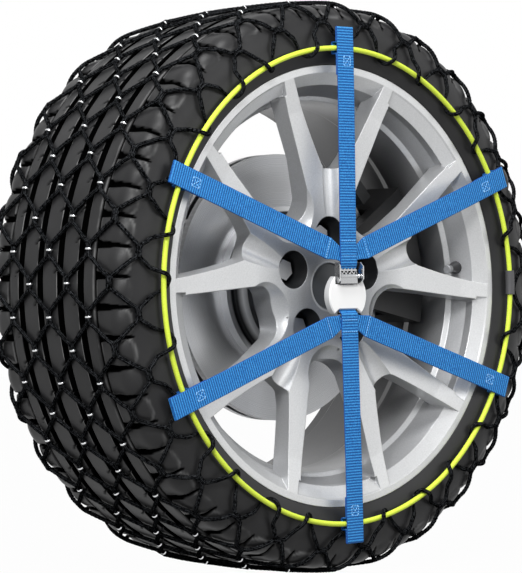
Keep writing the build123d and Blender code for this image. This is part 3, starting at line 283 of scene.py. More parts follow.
def build_tyre():
    """The rubber: the section with its tread, carried round the axle."""
    stations = tread_stations()
    outline = [on_profile(s) for s in stations]
    half = BEAD + LINING
    inside = half + [LINING_TOP] + [(r, -y) for r, y in reversed(half)]
    patterns = [[tread(s, step / STEPS) for s in stations] for step in range(STEPS)]
    around = BLOCKS * STEPS
    verts, darks, edges = [], [], []
    for j in range(around):
        section = [(r - cut * out_r, y - cut * out_y, dark, edge)
                   for (r, y, out_r, out_y), (cut, dark, edge)
                   in zip(outline, patterns[j % STEPS])]
        section += [(r, y, INSIDE_DARK, 0.0) for r, y in inside]
        angle = TURN * j / around
        cos, sin = math.cos(angle) * MM, math.sin(angle) * MM
        for r, y, dark, edge in section:
            verts.append((r * cos, y * MM, r * sin))
            darks.append(dark)
            edges.append(edge)
    row = len(stations) + len(inside)
    faces = []
    for j in range(around):
        k = (j + 1) % around
        for i in range(row):
            n = (i + 1) % row
            faces.append((j * row + i, k * row + i, k * row + n, j * row + n))
    obj = mesh_object("tyre_rubber", verts, faces)
    # groove holds painted shade, edge a painted highlight
    for name, values in (("groove", darks), ("edge", edges)):
        obj.data.attributes.new(name, "FLOAT", "POINT").data.foreach_set("value", values)
    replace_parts(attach(obj, "wheel"), "tyre")


# -------------------------------------------------- the net
CONTACT = 6.0             # half the run along which two ropes lie together
NODE_OFFSET = 2.0
STRANDS = 3
STRAND_SWELL = 0.1        # of the rope's radius
LAY = 9.0                 # one turn of the rope's strands
ROPE_SIDES = 12
TREAD_COLUMNS = 3         # the columns further out belong to the side nets
CROSSING = 0.36           # of a cell, from a node to where its ropes meet the ring
EDGE_RUN = 20.0           # from the last node column on towards the ring
NET_EDGE_R = 273.5        # where the net's edge turns back under a strap
SKIP_DEG = 5.0            # the net isn't tied this close to a strap or the joiner
# How the net's edge passes the ring: Y at the ring, Y just outside it, size of the rope.
OVER_RING = (RING_Y + RING_CORD_R + ROPE_R + 0.1, RING_Y + RING_CORD_R + ROPE_R - 1.4, 1.0)
UNDER_RING = (RING_Y - RING_CORD_R - 0.9, RING_Y - RING_CORD_R - 0.5, 0.72)
CORD_LOOK_R = 2.9         # the stretched cord as it is drawn
CORD_STEPS, CORD_SIDES = 360, 12
STAPLE_HALF_SPAN = 3.9
STAPLE_FOOT, STAPLE_TOP = 0.2, 5.5
STAPLE_WIDTH, STAPLE_THICK = 2.0, 0.7
STAPLE_STEPS = 12
STAPLE_SECTION = ((-1, -0.5), (-1, 0.2), (-0.6, 0.5), (0.6, 0.5), (1, 0.2), (1, -0.5))


def smooth_loop(points, step=1.7):
    """A closed Catmull-Rom curve through points of (radius, Y, degrees, size)."""
    count = len(points)

    def pick(k):
        """Point k; past the end it comes round again with its angle a turn on."""
        r, y, angle, size = points[k % count]
        return (r, y, angle + 360.0 * (k // count), size)

    result = []
    for i in range(count):
        p0, p1, p2, p3 = pick(i - 1), pick(i), pick(i + 1), pick(i + 2)
        gap = (space(*p1[:3]) - space(*p2[:3])).length / MM
        steps = max(1, round(gap / step))
        for n in range(steps):
            t = n / steps
            result.append(tuple(
                0.5 * (2 * b + (c - a) * t + (2 * a - 5 * b + 4 * c - d) * t * t
                       + (3 * b - a - 3 * c + d) * t ** 3)
                for a, b, c, d in zip(p0, p1, p2, p3)))
    return result


def rope(build, points):
    """Adds a laid rope, closed on itself, through points of (radius, Y, degrees, size)."""
    path = smooth_loop(points)
    centres = [space(r, y, a) for r, y, a, _ in path]
    count = len(centres)
    places = [0.0]
    for here, there in zip(centres, centres[1:]):
        places.append(places[-1] + (there - here).length / MM)
    total = places[-1] + (centres[0] - centres[-1]).length / MM
    turns = round(total / LAY) / total
    rings = []
    for j, (r, y, a, size) in enumerate(path):
        along = (centres[(j + 1) % count] - centres[j - 1]).normalized()
        up = space(r - SECTION_CENTRE_R, y, a)
        up = (up - along * up.dot(along)).normalized()
        side = along.cross(up)
        ring = []
        for i in range(ROPE_SIDES):
            t = TURN * i / ROPE_SIDES
            lobe = 1 + STRAND_SWELL * math.cos(STRANDS * (t - TURN * places[j] * turns))
            reach = ROPE_R * size * lobe * MM
            ring.append(centres[j] + (up * math.cos(t) + side * math.sin(t)) * reach)
        rings.append(ring)
    build.rings(rings, places, closed=True)


def laid_on(s, degrees):
    """Point of a rope that lies on the tyre."""
    r, y, out_r, out_y = on_profile(s)
    lift = ROPE_LIFT + ROPE_R
    return r + lift * out_r, y + lift * out_y, degrees, 1.0


def contact_degrees(s):
    """Half the contact's run at s, as an angle round the axle."""
    return math.degrees(CONTACT / on_profile(s)[0])


def zigzag_path(start, end, phase):
    """Closed rope between two node columns; its bends lie against the next ropes."""
    side = 1 if end > start else -1
    first, last = start + side * NODE_OFFSET, end - side * NODE_OFFSET
    path = []
    for cell in range(CELLS):
        near = phase + cell * PITCH
        for s, angle, other, away in ((first, near, last, near + PITCH / 2),
                                      (last, near + PITCH / 2, first, near + PITCH)):
            leave, arrive = angle + contact_degrees(s), away - contact_degrees(other)
            path += [laid_on(s, angle - contact_degrees(s)), laid_on(s, leave)]
            for part in (0.2, 0.4, 0.6, 0.8):
                path.append(laid_on(s + part * (other - s), leave + part * (arrive - leave)))
    return path


def edge_leg(side, node, way, crossing, to_ring):
    """The net's last rope from a node out to the ring, or short of it under a strap."""
    start = COLUMNS[-1] + NODE_OFFSET
    turn = contact_degrees(start)
    ring_y, near_y, size = crossing
    leg = []
    for part in (0.0, 0.3, 0.6):
        offset = turn + part * (CROSSING * PITCH - turn)
        leg.append(laid_on(side * (start + part * EDGE_RUN), node + way * offset))
    if to_ring:
        inner_y = RING_Y + (ring_y - RING_Y) * 0.4
        leg += [(RING_R + 6.5, side * near_y, node + way * 0.32 * PITCH, size),
                (RING_R, side * ring_y, node + way * CROSSING * PITCH, size),
                (RING_R - 5.4, side * inner_y, node + way * 0.43 * PITCH, size)]
    else:
        leg.append((NET_EDGE_R, side * (RING_Y - 3.0), node + way * (PITCH / 2 - 0.7), 1.0))
    return leg


def tied(degrees, skipped):
    """Whether the net is tied to the ring here."""
    return all(abs((degrees - s + 180) % 360 - 180) >= SKIP_DEG for s in skipped)


def edge_path(side, skipped):
    """The net's last rope: over the ring at one node, under it at the next."""
    path = []
    for cell in range(CELLS):
        node = CLOCKING + (cell + 0.5) * PITCH
        crossing = OVER_RING if cell % 2 else UNDER_RING
        before = tied(node - PITCH / 2, skipped)
        after = tied(node + PITCH / 2, skipped)
        path += reversed(edge_leg(side, node, -1, crossing, before))
        path += edge_leg(side, node, 1, crossing, after)
        if after:
            path.append((RING_R - 6.4, side * RING_Y, node + PITCH / 2, 0.9))
    return path


def build_net():
    """The tread net and the two side nets, which also make the ties round the rings."""
    nets = {"tread_net": Build(), "inner_side_net": Build(), "outer_side_net": Build()}
    for column, (start, end) in enumerate(zip(COLUMNS, COLUMNS[1:])):
        phase = CLOCKING + PITCH / 2 * (1 - column % 2)
        for side, side_net in ((-1, "outer_side_net"), (1, "inner_side_net")):
            node = "tread_net" if column < TREAD_COLUMNS else side_net
            rope(nets[node], zigzag_path(side * start, side * end, phase))
    rope(nets["outer_side_net"], edge_path(-1, STRAP_DEGREES + [JOINER_DEG]))
    rope(nets["inner_side_net"], edge_path(1, []))
    ties = {"outer_side_net": ["outer_ring_ties"], "inner_side_net": ["inner_ring_ties"]}
    made = []
    for node, build in nets.items():
        obj = build.object(node + "_rope")
        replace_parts(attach(obj, "wheel"), node, *ties.get(node, []))
        made.append(obj)
    return made


def build_cord():
    """The outer elastic, drawn thin where it is stretched."""
    rings, places = [], []
    for j in range(CORD_STEPS):
        angle = 360.0 * j / CORD_STEPS
        ring = []
        for i in range(CORD_SIDES):
            t = TURN * i / CORD_SIDES
            ring.append(space(RING_R + CORD_LOOK_R * math.cos(t),
                              -RING_Y + CORD_LOOK_R * math.sin(t), angle))
        rings.append(ring)
        places.append(RING_R * TURN * j / CORD_STEPS)
    build = Build()
    build.rings(rings, places, closed=True)
    obj = build.object("outer_elastic")
    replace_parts(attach(obj, "wheel"), "outer_ring_cord")
    return obj


def staple(build, s, degrees):
    """Adds one metal clip, bent over the two ropes that meet at a node."""
    r, y, out_r, out_y = on_profile(s)
    centre = space(r, y, degrees)
    up = space(out_r, out_y, degrees) / MM
    round_way = spoke_axes(degrees)[1]
    across = up.cross(round_way)
    rings = []
    for n in range(STAPLE_STEPS + 1):
        t = math.pi * (n / STAPLE_STEPS - 0.5)
        out = across * math.sin(t) * STAPLE_HALF_SPAN
        rise = up * (STAPLE_FOOT + (STAPLE_TOP - STAPLE_FOOT) * math.cos(t) ** 0.6)
        middle = centre + (out + rise) * MM
        facing = (across * math.sin(t) + up * math.cos(t)).normalized()
        rings.append([middle + round_way * (w * STAPLE_WIDTH / 2 * MM)
                      + facing * (h * STAPLE_THICK * MM) for w, h in STAPLE_SECTION])
    build.rings(rings, range(len(rings)))


def build_staples():
    """The clips at the nodes on the tread."""
    build = Build()
    for column, distance in enumerate(COLUMNS[:TREAD_COLUMNS]):
        phase = CLOCKING + PITCH / 2 * (1 - column % 2)
        for s in {distance, -distance}:
            for cell in range(CELLS):
                staple(build, s, phase + cell * PITCH)
    obj = build.object("net_staples")
    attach(obj, "wheel")


# ----------------------------------------------- the straps
# Points of a strap's path are pairs: how far out along the strap, and Y.
FLOOR_FRONT_Y = -125.65   # the buckle's floor: the top strap lies on its front
FLOOR_BACK_Y = -124.15    # and the bottom strap behind it
LIP_Z = 25.25             # the top strap leaves the buckle over this lip
MOUTH_Y = -129.6
SLOT_Z = 27.3             # the bottom strap comes forward through this slot
TOP_START, BOTTOM_START = 8.0, 6.0
JOIN_Y = -129.0           # middle of both straps where the side straps are sewn on
JOIN_END = 52.0
LAYER_GAP = 0.1           # between webbing and what it lies on
ARM_Y = JOIN_Y + WEB_THICK + LAYER_GAP
ARM_LEVEL_END = 55.0      # the side straps leave that layer here
ARM_END_HALF = 8.0        # their inner ends are folded narrow
ARM_TAPER_START, ARM_TAPER_RUN = 15.0, 15.0
ARM_ROWS = (("upper", 31.4, 8.0), ("lower", -35.6, 12.0))  # height, inner end
RING_GAP = 0.3            # round the ring cord and between a loop's layers
FRONT_Y = -RING_Y - RING_CORD_R - RING_GAP - WEB_THICK / 2  # a loop's front layer
LOOP_SLACK = 2.0
LOOP_RETURN = 30.0        # the folded end reaches back this far from the ring
LEVEL_RUN = 25.0          # and the strap is level this much before it
LOOP_REACH = {"strap_top": 23.0, "strap_upper_right": 18.0, "strap_upper_left": 18.0,
              "strap_bottom": 21.0, "strap_lower_right": 15.0, "strap_lower_left": 24.0}
RIB_PITCH, RIB_HEIGHT = 3.1, 0.32
PATH_STEP = 0.75
NEARLY_STRAIGHT = 3.1     # radians between the two sides of a corner
# Front half of the webbing's section, in half widths and half thicknesses.
WEB_FRONT = [(-1, 0), (-0.97, 0.8), (-0.9, 1), (-0.5, 1), (0, 1), (0.5, 1), (0.9, 1),
             (0.97, 0.8)]
WEB_SECTION = WEB_FRONT + [(-across, -thick) for across, thick in WEB_FRONT]
PLAIN_EDGE = 0.95         # no ribs beyond this

STITCH_LENGTH, STITCH_PITCH = 2.3, 3.0
STITCH_HALF_WIDTH, STITCH_HEIGHT = 0.55, 0.5
STITCH_STATIONS = ((-1, 0.25), (-0.7, 0.8), (0, 1), (0.7, 0.8), (1, 0.25))
STITCH_SECTION = ((-1, 0.3), (-0.6, -0.5), (0, -0.8), (0.6, -0.5), (1, 0.3))
BOX_LENGTH, BOX_WIDTH = 11.0, 10.0
ARM_BOX_INSET, MIDDLE_BOX_INSET = 22.0, 20.0
BOX_LOW = -5.0
TOP_BOX_LOW = -7.0        # the top strap's box is sewn off its middle
ARM_SEAM, ARM_SEAM_HALF = 31.0, 12.0
CROSS_SEAMS = ((90, 50.0), (90, 33.0), (270, 38.0), (270, 51.0))  # degrees, place
CROSS_SEAM_HALF = 11.0


def rounded(points, radius=0.9, steps=5):
    """The polyline with its corners turned into arcs."""
    result = [points[0]]
    for before, here, after in zip(points, points[1:], points[2:]):
        a, b, c = Vector(before), Vector(here), Vector(after)
        back, on = (a - b).normalized(), (c - b).normalized()
        angle = back.angle(on)
        if angle > NEARLY_STRAIGHT:
            result.append(here)
            continue
        setback = min(radius / math.tan(angle / 2), (a - b).length * 0.48,
                      (c - b).length * 0.48)
        for n in range(steps + 1):
            t = n / steps
            p = (b + back * setback) * (1 - t) ** 2 + b * 2 * t * (1 - t)
            p += (b + on * setback) * t * t
            result.append(tuple(p))
    result.append(points[-1])
    return result


def resampled(points, step):
    """The polyline with points about every step along it."""
    result = [points[0]]
    for here, there in zip(points, points[1:]):
        count = max(1, round(math.dist(here, there) / step))
        for n in range(1, count + 1):
            t = n / count
            result.append((here[0] + t * (there[0] - here[0]),
                           here[1] + t * (there[1] - here[1])))
    return result


def strap_path(inner_path, ring_at, reach):
    """A strap's middle line: its inner part, then round the ring cord and back."""
    behind = FRONT_Y + WEB_THICK + RING_GAP
    under = -RING_Y + RING_CORD_R + RING_GAP + WEB_THICK / 2
    close = RING_CORD_R + LOOP_SLACK + WEB_THICK / 2
    loop = ring_at + reach
    corners = [*inner_path, (ring_at - LOOP_RETURN - LEVEL_RUN, FRONT_Y),
               (loop, FRONT_Y), (loop, behind),
               (ring_at + close, behind), (ring_at + close, under),
               (ring_at - close, under), (ring_at - close, behind),
               (ring_at - LOOP_RETURN, behind)]
    return resampled(rounded(corners), PATH_STEP)


def half_width(x, end_half):
    """Half the strap's width at x: it widens from end_half to the webbing's own."""
    share = min(max((x - ARM_TAPER_START) / ARM_TAPER_RUN, 0.0), 1.0)
    return end_half + (WEB_HALF - end_half) * share


def strap(name, height, degrees, ring_at, inner_path, end_half=WEB_HALF):
    """Ribbed webbing along its path in the plane through the strap and the Y axis."""
    along_axis, side_axis = spoke_axes(degrees)
    origin = Vector((0, 0, height))
    path = strap_path(inner_path, ring_at, LOOP_REACH[name])
    rings, places = [], []
    place = 0.0
    for j, (x, y) in enumerate(path):
        x0, y0 = path[max(j - 1, 0)]
        x1, y1 = path[min(j + 1, len(path) - 1)]
        place += math.dist((x, y), (x0, y0))
        run = math.hypot(x1 - x0, y1 - y0)
        normal = along_axis * (y1 - y0) / run - Vector((0, 1, 0)) * (x1 - x0) / run
        middle = origin + along_axis * x + Vector((0, y, 0))
        half = half_width(x, end_half)
        rib = RIB_HEIGHT * 0.5 * (1 + math.cos(TURN * place / RIB_PITCH)) - RIB_HEIGHT
        ring = []
        for across, thick in WEB_SECTION:
            rise = thick * (WEB_THICK / 2 + (rib if abs(across) < PLAIN_EDGE else 0))
            ring.append((middle + side_axis * across * half + normal * rise) * MM)
        rings.append(ring)
        places.append(place)
    build = Build()
    build.rings(rings, places)
    obj = build.object(name + "_webbing")
    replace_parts(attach(obj, "wheel"), name)
    return obj


def side_arms():
    """Height on the Z axis, slope, reach to the ring and inner end of each side strap."""
    ring_x = RING_R * math.cos(math.radians(SIDE_ARM_DEG))
    ring_z = RING_R * math.sin(math.radians(SIDE_ARM_DEG))
    arms = {}
    for row, height, inner_end in ARM_ROWS:
        rise = ring_z - abs(height)
        slope = math.copysign(math.degrees(math.atan2(rise, ring_x)), height)
        reach = math.hypot(ring_x, rise)
        arms[f"strap_{row}_right"] = (height, slope, reach, inner_end)
        arms[f"strap_{row}_left"] = (height, 180 - slope, reach, inner_end)
    return arms


def build_straps():
    """Two straps through the buckle and four side straps sewn behind them."""
    on_floor = FLOOR_FRONT_Y - LAYER_GAP - WEB_THICK / 2
    behind_floor = FLOOR_BACK_Y + LAYER_GAP + WEB_THICK / 2
    top = [(TOP_START, on_floor), (LIP_Z - 8, on_floor), (LIP_Z - 1.5, MOUTH_Y),
           (LIP_Z + 6, MOUTH_Y), (JOIN_END, JOIN_Y)]
    bottom = [(BOTTOM_START, behind_floor), (SLOT_Z - 2, behind_floor),
              (SLOT_Z + 4, JOIN_Y), (JOIN_END, JOIN_Y)]
    made = [strap("strap_top", 0, 90, RING_R, top),
            strap("strap_bottom", 0, -90, RING_R, bottom)]
    for name, (height, slope, reach, inner_end) in side_arms().items():
        inner = [(inner_end, ARM_Y), (ARM_LEVEL_END, ARM_Y)]
        made.append(strap(name, height, slope, reach, inner, ARM_END_HALF))
    return made


def strap_face(height, degrees, y):
    """Origin of a strap's face, and its directions along and across the strap."""
    return Vector((0, y, height)), *spoke_axes(degrees)


def seam(build, face, start, end):
    """Adds a row of stitches from start to end, both (along, across) on the face."""
    origin, along, across = face
    span = math.dist(start, end)
    way = ((end[0] - start[0]) / span, (end[1] - start[1]) / span)
    wide = along * -way[1] + across * way[0]
    count = max(1, round(span / STITCH_PITCH))
    for n in range(count):
        middle = (n + 0.5) / count * span
        rings = []
        for part, size in STITCH_STATIONS:
            place = middle + part * STITCH_LENGTH / 2
            x, z = start[0] + way[0] * place, start[1] + way[1] * place
            centre = origin + along * x + across * z
            ring = []
            for side, lift in STITCH_SECTION:
                rise = Vector((0, lift * STITCH_HEIGHT * size, 0))
                ring.append((centre + wide * side * STITCH_HALF_WIDTH * size + rise) * MM)
            rings.append(ring)
        build.rings(rings, range(len(rings)))


def box_seams(build, face, near, low):
    """Adds a sewn box with its diagonals; (near, low) is its first corner."""
    far, high = near + BOX_LENGTH, low + BOX_WIDTH
    corners = [(near, low), (far, low), (far, high), (near, high)]
    for here, there in zip(corners, corners[1:] + corners[:1]):
        seam(build, face, here, there)
    seam(build, face, corners[0], corners[2])
    seam(build, face, corners[1], corners[3])


def build_stitches():
    """Box and cross seams by the ring, and the seams across the straps."""
    build = Build()
    ring_face_y = FRONT_Y - WEB_THICK / 2
    for degrees, low in ((90, TOP_BOX_LOW), (270, BOX_LOW)):
        face = strap_face(0, degrees, ring_face_y)
        box_seams(build, face, RING_R - MIDDLE_BOX_INSET, low)
    for height, degrees, reach, _ in side_arms().values():
        face = strap_face(height, degrees, ring_face_y)
        box_seams(build, face, reach - ARM_BOX_INSET, BOX_LOW)
        seam(build, strap_face(height, degrees, ARM_Y - WEB_THICK / 2),
             (ARM_SEAM, -ARM_SEAM_HALF), (ARM_SEAM, ARM_SEAM_HALF))
    for degrees, place in CROSS_SEAMS:
        seam(build, strap_face(0, degrees, JOIN_Y - WEB_THICK / 2 - LAYER_GAP),
             (place, -CROSS_SEAM_HALF), (place, CROSS_SEAM_HALF))
    obj = build.object("strap_stitches")
    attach(obj, "wheel")


# ------------------------------------------------ materials
MIX_FIRST, MIX_SECOND, MIX_RESULT = 6, 7, 2  # the colour sockets of a Mix node
HUB_FACE_DEPTH = 17.0
BOLT_CIRCLE_R = 57.15
BOLT_PITCH = math.radians(360 / 5)
POCKET_R, POCKET_END_DEPTH = 21.2, 60.0
HUB_SHADE_R, HUB_SHADE_END_R = 60.0, 115.0  # painted shade greys the hub and gives way to the spokes' tone between these radii
# painted shade deepens inboard in the barrel between these depths
BARREL_DEPTH, BARREL_DARK_DEPTH = 42.0, 92.0
HAT_LIP_R = 92.0          # of the brake disc
CAP_R = 30.0
CAM_ROW_Z = (12.9, 16.6)  # the cam's row of openings painted as shade, low and high edge
CAM_CELL = 2.9
CAM_BAR = 0.24            # half the bars' width, as a share of a cell
FRAME_BRIGHT_Y, FRAME_DARK_Y = -131.8, -129.6  # painted shade on the frame deepens between these
RUBBER_SHEEN = 0.22
BRAID_TURNS, BRAID_ROUND = 0.55, 4.0  # turns per mm, and round the rope


def linear(byte):
    """One byte of an sRGB colour, made linear."""
    c = byte / 255
    return c / 12.92 if c <= 0.04045 else ((c + 0.055) / 1.055) ** 2.4


def srgb(r, g, b):
    """A colour as its sRGB bytes, turned linear."""
    return (linear(r), linear(g), linear(b), 1.0)


class Nodes:
    """A node tree with short ways to add the common nodes."""

    def __init__(self, tree):
        self.tree = tree

    def feed(self, socket, value):
        """Gives the socket a link from another node, or a constant."""
        if isinstance(value, bpy.types.NodeSocket):
            self.tree.links.new(value, socket)
        else:
            socket.default_value = value

    def node(self, kind, *values, **named):
        """Adds a node; values feed its first sockets in order.

        Names with a capital are sockets and the others the node's settings.
        """
        made = self.tree.nodes.new("ShaderNode" + kind)
        for key in [k for k in named if k[0].islower()]:
            setattr(made, key, named.pop(key))
        for socket, value in zip(made.inputs, values):
            self.feed(socket, value)
        for key, value in named.items():
            self.feed(made.inputs[key.replace("_", " ")], value)
        return made

    def math(self, operation, *values):
        return self.node("Math", *values, operation=operation).outputs[0]

    def times(self, a, b):
        return self.math("MULTIPLY", a, b)

    def hypot(self, a, b):
        return self.math("SQRT", self.math("ADD", self.times(a, a), self.times(b, b)))

    def rescale(self, value, start, end, low=0.0, high=1.0, clamp=True):
        """The value, with start to end stretched to low to high."""
        made = self.node("MapRange", clamp=clamp, Value=value, From_Min=start,
                         From_Max=end, To_Min=low, To_Max=high)
        return made.outputs["Result"]

    def place(self):
        return self.node("TexCoord").outputs["Object"]

    def xyz(self, vector):
        return self.node("SeparateXYZ", vector).outputs

    def from_axle(self):
        """Distance from the axle."""
        x, _, z = self.xyz(self.place())
        return self.hypot(x, z)

    def facing(self):
        """1 where the surface faces along the axle, 0 where it runs along it."""
        normal = self.node("NewGeometry").outputs["Normal"]
        return self.math("ABSOLUTE", self.xyz(normal)["Y"])

    def noise(self, scale, detail=3.0):
        found = self.node("TexNoise", Vector=self.place(), Scale=scale, Detail=detail,
                          Roughness=0.5)
        return found.outputs["Fac"]

    def ramp(self, value, stops):
        """A colour by value; stops are pairs of position and colour."""
        made = self.node("ValToRGB", value)
        while len(made.color_ramp.elements) < len(stops):
            made.color_ramp.elements.new(0.5)
        for element, (position, colour) in zip(made.color_ramp.elements, stops):
            element.position = position
            element.color = colour
        return made.outputs["Color"]

    def clouds(self, value, dark, light):
        """Soft change between two colours, for a noise as value."""
        return self.ramp(value, [(0.3, dark), (0.7, light)])

    def mixed(self, share, first, second, **settings):
        """Colour that turns from first to second as share goes from 0 to 1."""
        made = self.node("Mix", share, data_type="RGBA", **settings)
        self.feed(made.inputs[MIX_FIRST], first)
        self.feed(made.inputs[MIX_SECOND], second)
        return made.outputs[MIX_RESULT]

    def product(self, first, second):
        """The two colours multiplied."""
        return self.mixed(1.0, first, second, blend_type="MULTIPLY")

    def seen(self):
        """1 for rays from the camera, also by mirrors or glass, and 0 for others."""
        rays = self.node("LightPath").outputs
        turned = self.math("MAXIMUM", rays["Is Glossy Ray"], rays["Is Transmission Ray"])
        return self.math("MAXIMUM", rays["Is Camera Ray"], turned)


class Look(Nodes):
    """A material with one shader, whose sockets are set by name."""

    def __init__(self, name, **sockets):
        self.material = bpy.data.materials.new(name)
        self.material.use_nodes = True
        super().__init__(self.material.node_tree)
        self.shader = self.tree.nodes["Principled BSDF"]
        for key, value in sockets.items():
            self.set(key.replace("_", " "), value)

    def set(self, socket, value):
        self.feed(self.shader.inputs[socket], value)

    def roughness(self, low, high, scale=60.0):
        """Roughness that drifts between low and high."""
        self.set("Roughness", self.rescale(self.noise(scale), 0.0, 1.0, low, high))

    def bump(self, height, strength, distance):
        made = self.node("Bump", Strength=strength, Distance=distance, Height=height)
        self.set("Normal", made.outputs["Normal"])


def metal(name, dark, light, rough, metallic=1.0, grain=900.0, bump=0.1):
    """Metal or painted metal with faint cloudiness and a fine grain."""
    look = Look(name, Metallic=metallic)
    look.set("Base Color", look.clouds(look.noise(9.0), dark, light))
    look.roughness(rough - 0.05, rough + 0.05)
    look.bump(look.noise(grain, 2.0), bump, 0.0002)
    return look


def rubber(name, shade):
    """Rubber; a mesh's groove values give its cuts painted shade and its edge values give
    their rims a painted highlight.
    """
    look = Look(name)
    tone = look.clouds(look.noise(14.0, 4.0), srgb(shade - 7, shade - 7, shade - 6),
                       srgb(shade + 7, shade + 7, shade + 8))
    # painted highlight on the groove rims, broken into patches by noise
    highlight_breakup = look.rescale(look.noise(38.0, 2.0), 0.42, 0.62)
    edge = look.node("Attribute", attribute_name="edge").outputs["Fac"]
    tone = look.mixed(look.times(edge, highlight_breakup), tone, srgb(150, 150, 150))
    # painted shade in the cuts, which also lose their sheen there
    groove = look.node("Attribute", attribute_name="groove").outputs["Fac"]
    tone = look.mixed(groove, tone, srgb(3, 3, 3))
    look.set("Base Color", tone)
    look.set("Specular IOR Level", look.rescale(groove, 0.0, 1.0, RUBBER_SHEEN, 0.0))
    look.roughness(0.36, 0.44, 200.0)
    look.bump(look.noise(1500.0), 0.15, 0.0003)
    return look


def rope_look():
    """Black braid with lighter flecks, laid out along each rope."""
    look = Look("braided_rope", Roughness=0.8, Specular_IOR_Level=0.0)
    across, along, _ = look.xyz(look.node("UVMap", uv_map="along").outputs[0])
    round_it, turns = look.times(across, BRAID_ROUND), look.times(along, BRAID_TURNS)
    left = look.math("SINE", look.times(look.math("ADD", round_it, turns), TURN))
    right = look.math("SINE", look.times(look.math("SUBTRACT", round_it, turns), TURN))
    braid = look.times(left, right)
    fleck = look.times(look.math("MULTIPLY_ADD", braid, 0.5, 0.5), look.noise(420.0, 2.0))
    level = look.math("ADD", fleck, look.times(look.noise(500.0), 0.6))
    tone = look.ramp(level, [(0.4, srgb(1, 1, 1)), (0.6, srgb(5, 5, 6)),
                             (0.72, srgb(66, 68, 71))])
    look.set("Base Color", tone)
    look.bump(braid, 0.5, 0.0005)
    return look


def webbing_look():
    """Blue woven strap: ribs across it, lighter on their crests as painted highlight and
    darker between as painted shade, a fine weave between them, darker edges.
    """
    look = Look("blue_webbing", Roughness=0.62, Specular_IOR_Level=0.3)
    round_it, along, _ = look.xyz(look.node("UVMap", uv_map="along").outputs[0])
    ribs = look.math("COSINE", look.times(along, TURN / RIB_PITCH))
    grain = look.noise(700.0)
    # the ribs' crests carry a painted highlight and their troughs painted shade
    level = look.math("ADD", look.times(ribs, 0.26), look.times(grain, 0.95))
    tone = look.ramp(level, [(0.12, srgb(8, 58, 124)), (0.45, srgb(20, 108, 184)),
                             (0.78, srgb(74, 162, 228))])
    side = look.math("ABSOLUTE", look.math("COSINE", look.times(round_it, TURN)))
    tone = look.mixed(look.math("GREATER_THAN", side, 0.9), tone, srgb(20, 78, 154))
    look.set("Base Color", tone)
    look.bump(grain, 0.35, 0.0004)
    return look


def stitch_look():
    """Pale blue thread."""
    look = Look("stitch_thread", Roughness=0.5)
    tone = look.clouds(look.noise(800.0), srgb(104, 178, 244), srgb(160, 212, 250))
    look.set("Base Color", tone)
    return look


def cord_look():
    """Yellow elastic with a fine weave."""
    look = Look("neon_cord", Roughness=0.5, Specular_IOR_Level=0.3)
    grain = look.noise(900.0, 2.0)
    look.set("Base Color", look.clouds(grain, srgb(212, 236, 56), srgb(234, 252, 96)))
    look.bump(grain, 0.3, 0.0004)
    return look


def disc_look():
    """Turned iron: grooves round the axle that stretch the highlights."""
    look = Look("turned_disc", Metallic=0.9, Anisotropic=0.85)
    radius = look.from_axle()
    lines = look.node("TexNoise", noise_dimensions="1D", W=radius, Scale=2500.0)
    tone = look.clouds(lines.outputs["Fac"], srgb(174, 175, 177), srgb(220, 221, 223))
    # at the hat's lip the bright rings are painted highlights and the dark ring between them
    # painted shade
    rings = look.ramp(look.math("DIVIDE", radius, HAT_LIP_R * MM),
                      [(0.82, srgb(130, 132, 134)), (0.86, srgb(215, 216, 218)),
                       (0.9, srgb(50, 51, 53)), (0.93, srgb(56, 57, 59)),
                       (0.95, srgb(230, 231, 233))])
    hat = look.math("LESS_THAN", radius, HAT_LIP_R * MM)
    look.set("Base Color", look.mixed(hat, tone, rings))
    look.roughness(0.3, 0.4, 30.0)
    tangent = look.node("Tangent", direction_type="RADIAL", axis="Y")
    look.set("Tangent", tangent.outputs[0])
    return look


def in_pocket(look):
    """1 inside the five bolt pockets and 0 elsewhere."""
    x, y, z = look.xyz(look.place())
    from_top = look.math("SUBTRACT", look.math("ARCTAN2", z, x),
                         math.radians(90 + CLOCKING))
    turn = look.math("DIVIDE", from_top, BOLT_PITCH)
    off_bolt = look.math("SUBTRACT", turn, look.math("ROUND", turn))
    angle = look.times(off_bolt, BOLT_PITCH)
    radius = look.hypot(x, z)
    out = look.math("SUBTRACT", look.times(radius, look.math("COSINE", angle)),
                    BOLT_CIRCLE_R * MM)
    off = look.times(radius, look.math("SINE", angle))
    near = look.math("LESS_THAN", look.hypot(out, off), POCKET_R * MM)
    begins = look.math("GREATER_THAN", y, (FACE_Y + HUB_FACE_DEPTH + 0.1) * MM)
    ends = look.math("LESS_THAN", y, (FACE_Y + POCKET_END_DEPTH) * MM)
    return look.times(near, look.times(begins, ends))


